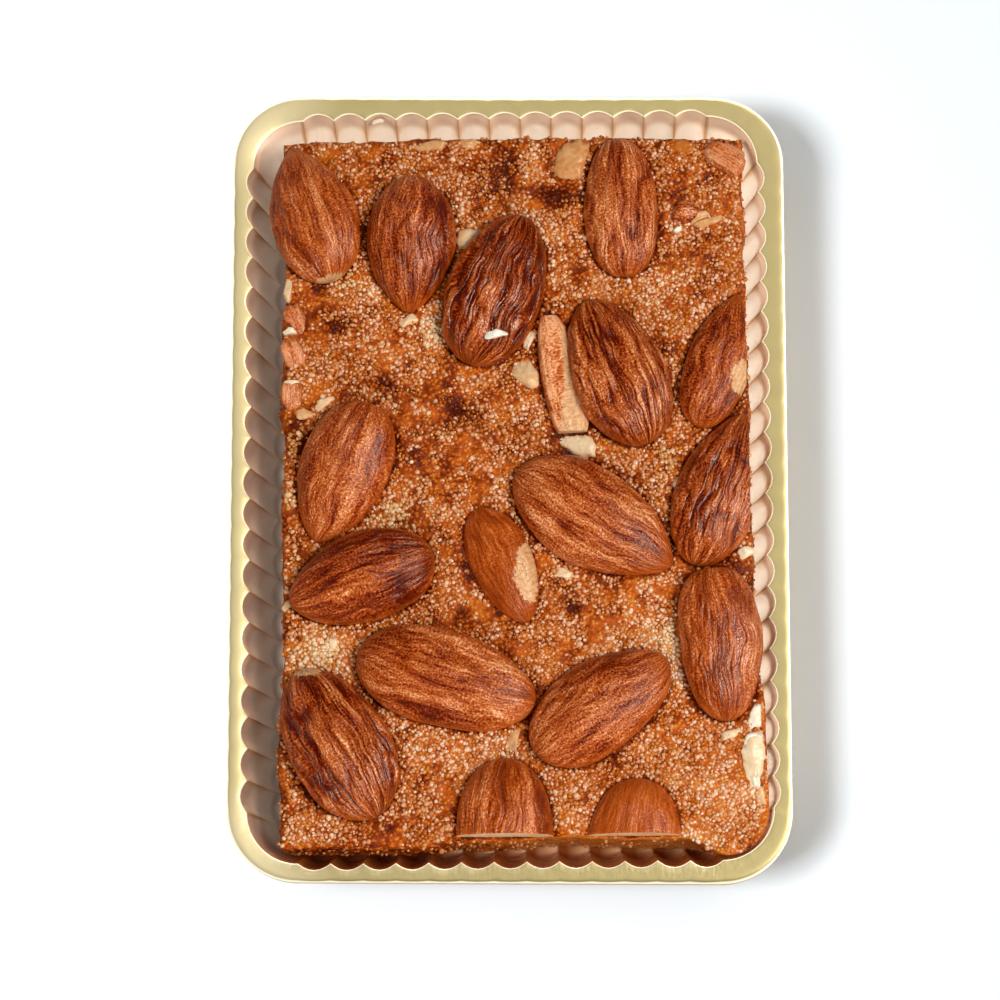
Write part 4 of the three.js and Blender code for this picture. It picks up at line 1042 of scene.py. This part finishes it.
BIT_WAIST, BIT_DEPTH, STRAY_DEPTH = 0.2, 1.6, 0.4


def rounded(outline, count=54):
    """An outline drawn as count points, with its corners a little rounded."""
    corners = np.array(outline + outline[:1])
    lengths = np.concatenate([[0], np.cumsum(np.linalg.norm(np.diff(corners, axis=0), axis=1))])
    way = np.linspace(0, lengths[-1], count, endpoint=False)
    ring = np.column_stack([np.interp(way, lengths, corners[:, 0]), np.interp(way, lengths, corners[:, 1])])
    for _ in range(2):
        ring = (np.roll(ring, 1, 0) + 2 * ring + np.roll(ring, -1, 0)) / 4
    return ring


def bit_mesh(outline, rise, slope, base, seed, worn=False, depth=BIT_DEPTH, jagged=0.0):
    """A bit of nut: its outline at the waist, a root sunk in the crust and, above, either a few flat
    facets or a worn, rounded top."""
    ring = rounded(outline)
    way = np.arange(len(ring)) / len(ring)
    centre = ring.mean(0)
    local = np.random.default_rng(seed)
    tilts = local.normal(0, 0.08 if worn else 0.22, (3, 2))
    drops = np.array([0.0, *local.uniform(0.0, 0.25, 2)]) * rise
    levels = [(0.3, -1.0), (0.75, -0.7), (0.96, -0.3), (1.0, 0.0)]
    if worn:
        levels += [(math.cos(t), math.sin(t)) for t in np.radians([20, 36, 50, 62, 72, 80])]
    else:
        levels += [(0.985, 0.3), (0.94, 0.62), (0.86, 0.86), (0.74, 0.97)]
        levels += [(size, 1.0) for size in (0.58, 0.4, 0.2)]
    rings = []
    for size, height in levels:
        spread = (ring - centre) * size
        if height > 0:
            facets = [rise * (1 - drop) + spread @ tilt for drop, tilt in zip(drops, tilts)]
            top = np.minimum.reduce(facets) + spread @ np.array(slope)
            z = mix(-BIT_WAIST, top, height)
        else:
            z = np.full(len(ring), -BIT_WAIST + height * (depth - BIT_WAIST))
        wear = 0.06 * bumps(spread[:, 0] / 0.5 + 9, spread[:, 1] / 0.5 + z * 2, seed)
        chipped = jagged * bumps(way * 13, 0.0, seed + 7) + 1.3 * wear
        rings.append(np.column_stack([centre + spread * (1 + chipped)[:, None], base + z + wear]))
    low = [*centre, base - depth]
    high = [*centre, rings[-1][:, 2].mean()]
    return closed_rings(rings, low, high)


def build_bits(skin, brown, nut):
    """The broken bits: bare nut where a tint is given, and otherwise with skin that runs along them."""
    pieces = []
    for number, (name, (rise, slope, outline)) in enumerate(BITS.items()):
        points, faces = bit_mesh(outline, rise, slope, SLAB_TOP, 300 + number, name in WORN,
                                 jagged=JAGGED.get(name, 0.0))
        material = nut if name in TINTS else brown if name == "chunk_brown" else skin
        piece = add_mesh(name + "_bit", points, faces, [material])
        if name in TINTS:
            add_values(piece, tint=np.full(len(points), TINTS[name]))
        else:
            flat = points[:, :2] - points[:, :2].mean(0)
            axes = np.linalg.eigh(flat.T @ flat)[1]
            u, v = flat @ axes[:, 1], flat @ axes[:, 0]
            # Crest and groove marks for the skin's painted light and shade, and a foot of syrup that is
            # partly painted glow
            ridge = np.abs(bumps(u * 0.2, v * 1.2, 90 + number)) ** 0.6
            add_values(piece, fibre=np.column_stack([u, v * 1.3, points[:, 2]]),
                       crest=ridge, groove=np.clip(1 - ridge / 0.5, 0, 1),
                       bare=0.2 * bumps(u / 1.5, v / 0.8, 95 + number) - 0.22,
                       foot=0.6 * smooth(SLAB_TOP + 0.5 - points[:, 2]))
        pieces.append((piece, name))
    return pieces


def build_chips(nut):
    """The small chips, each an uneven five-sided flake with a seed of its own, as one mesh."""
    points, faces, tints = [], [], []
    offset = 0
    on_crust = [(x, y, None, *rest) for x, y, *rest in CHIPS]
    for number, (x, y, z, length, width, heading, rise, tint) in enumerate(on_crust + STRAYS):
        local = np.random.default_rng(400 + number)
        angle = np.radians([32, 90, 148, 212, 328]) + local.uniform(-0.28, 0.28, 5)
        reach = local.uniform(0.95, 1.3, 5)
        u, v = length / 2 * np.cos(angle) * reach, width / 2 * np.sin(angle) * reach
        turn = math.radians(heading)
        px, py = x + u * math.cos(turn) - v * math.sin(turn), y + u * math.sin(turn) + v * math.cos(turn)
        base = float(crust_height(np.array(x), np.array(y))) if z is None else z
        depth = BIT_DEPTH if z is None else STRAY_DEPTH
        chip, sides = bit_mesh(list(zip(px, py)), rise, (0.0, 0.0), base, 400 + number,
                               depth=depth, jagged=CHIP_JAGGED)
        points.append(chip)
        faces.append(sides + offset)
        tints.append(np.full(len(chip), tint))
        offset += len(chip)
    piece = add_mesh("pale_chips", np.concatenate(points), np.concatenate(faces), [nut])
    add_values(piece, tint=np.concatenate(tints))
    return piece


# The stage, the lights and the camera

def build_floor():
    half = 1200.0
    corners = [(-half, -half, 0), (half, -half, 0), (half, half, 0), (-half, half, 0)]
    material, tree, shader = new_material("pale_floor")
    shader.inputs["Base Color"].default_value = (0.88, 0.94, 0.985, 1.0)
    shader.inputs["Roughness"].default_value = 0.9
    floor = add_mesh("studio_floor", corners, [[0, 1, 2, 3]], [material])
    return floor


def area_light(name, direction, distance, size, power):
    lamp = bpy.data.lights.new(name, "AREA")
    lamp.shape = "SQUARE"
    lamp.size = size
    lamp.energy = power
    holder = bpy.data.objects.new(name, lamp)
    bpy.context.scene.collection.objects.link(holder)
    away = Vector(direction).normalized()
    holder.location = away * distance + Vector((0, 0, SLAB_TOP * MM))
    holder.rotation_euler = away.to_track_quat("Z", "Y").to_euler()
    return holder


def grouped(name, pieces):
    group = bpy.data.collections.new(name)
    for piece in pieces:
        group.objects.link(piece)
    return group


def aim_light(lamp, pieces, only=True):
    """Makes a light fall only on some pieces, or on everything but them."""
    group = grouped(lamp.name + "_reach", pieces)
    if not only:
        for entry in group.collection_objects:
            entry.light_linking.link_state = "EXCLUDE"
    lamp.light_linking.receiver_collection = group


# The lights: direction from the part, distance, size, power in watts, and what they fall on
LIGHTS = [
    ("key", (0.57, -0.08, 0.8), 0.8, 0.3, 5.8, "part"),
    ("fill", (-0.3, -0.8, 0.6), 0.9, 0.7, 4.6, "part"),
    ("side", (-0.7, 0.6, 0.5), 0.9, 0.7, 1.6, "part"),
    ("left_light", (-0.75, 0.0, 0.65), 0.8, 0.4, 5.2, "tray"),
    ("back_high", (0.35, 0.85, 0.5), 0.8, 0.3, 2.0, "tray"),
    ("tray_dome", (0.0, 0.0, 1.0), 1.0, 2.0, 2.5, "tray"),
    ("overhead", (0.0, 0.2, 1.0), 0.9, 0.7, 1.2, "tray"),
    ("right_light", (1.0, 0.1, 0.08), 0.7, 0.3, 11.0, "tray"),
    ("back_light", (0.1, 1.0, 0.08), 0.7, 0.3, 6.4, "tray"),
    ("floor_fill", (0.0, 0.0, 1.0), 1.0, 1.2, 5.6, "floor"),
    ("floor_light", (-0.45, -0.2, 0.87), 0.9, 0.25, 6.9, "floor"),
    ("front_light", (0.1, -1.0, 0.3), 0.8, 0.4, 1.6, "front"),
]
NO_GLARE = ("fill", "side", "left_light")
WORLD_LIGHT = 0.08


def build_lights(floor, tray, core, front):
    """A soft studio. Some lights aren't mirrored by anything glossy, and the light for the slab's
    front passes through all but the slab, as light does through a clear wall."""
    world = bpy.data.worlds.new("studio")
    bpy.context.scene.world = world
    world.use_nodes = True
    world.node_tree.nodes["Background"].inputs["Color"].default_value = (1, 1, 1, 1)
    world.node_tree.nodes["Background"].inputs["Strength"].default_value = WORLD_LIGHT
    world.cycles_visibility.glossy = False
    reach = {"part": ([floor], False), "tray": ([tray],), "floor": ([floor],), "front": (front,)}
    for name, direction, distance, size, power, target in LIGHTS:
        lamp = area_light(name, direction, distance, size, power)
        aim_light(lamp, *reach[target])
        if name in NO_GLARE:
            lamp.visible_glossy = False
        if target == "front":
            lamp.light_linking.blocker_collection = grouped(name + "_blockers", [core])
    bpy.context.scene.view_settings.view_transform = "Standard"


# Where the photo was taken from: it looks down at the middle of the rim, from in front
CAMERA_AIM = (-0.96, -2.42, 13.5)
CAMERA_DISTANCE = 384.7
CAMERA_TILT, CAMERA_PAN, CAMERA_ROLL = 12.16, 4.24, -0.43
CAMERA_LENS, SENSOR = 109.06, 36.0


def build_camera():
    tilt, pan = math.radians(CAMERA_TILT), math.radians(CAMERA_PAN)
    back = Vector((math.sin(pan) * math.sin(tilt), -math.cos(pan) * math.sin(tilt), math.cos(tilt)))
    data = bpy.data.cameras.new("camera")
    data.lens, data.sensor_width = CAMERA_LENS, SENSOR
    data.clip_start, data.clip_end = 0.01, 20.0
    holder = bpy.data.objects.new("camera", data)
    bpy.context.scene.collection.objects.link(holder)
    holder.location = (Vector(CAMERA_AIM) + back * CAMERA_DISTANCE) * MM
    right = (-back).cross(Vector((0, 1, 0))).normalized()
    up = right.cross(-back)
    roll = math.radians(CAMERA_ROLL)
    x_axis = right * math.cos(roll) + up * math.sin(roll)
    y_axis = up * math.cos(roll) - right * math.sin(roll)
    holder.rotation_euler = Matrix((x_axis, y_axis, back)).transposed().to_euler()
    bpy.context.scene.camera = holder


build_camera()
floor = build_floor()
nut = nut_material("nut")
broken = skin_material("skin_broken", 0.8, -1.3, 0.6, 40, True, 0.5)
brown = skin_material("skin_brown", 0.6, 0.1, 0.8, 41)

tray = build_tray(gold_material())
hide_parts("tray")
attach(tray, "root")
core, side, side_outward = build_core(crumb_material())
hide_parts("slab")
beads = build_beads(side, side_outward)
for piece in [core, *beads]:
    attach(piece, "root")
almonds = build_almonds(nut_material("cut_nut", 0.65))
for piece, name in almonds:
    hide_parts(name)
    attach(piece, "root")
for piece, name in build_bits(broken, brown, nut):
    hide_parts(name)
    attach(piece, "root")
chips = build_chips(nut)
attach(chips, "root")
cut_in_front = [piece for piece, name in almonds if name in ("almond_15", "almond_16")]
build_lights(floor, tray, core, [core, beads[-1], *cut_in_front])
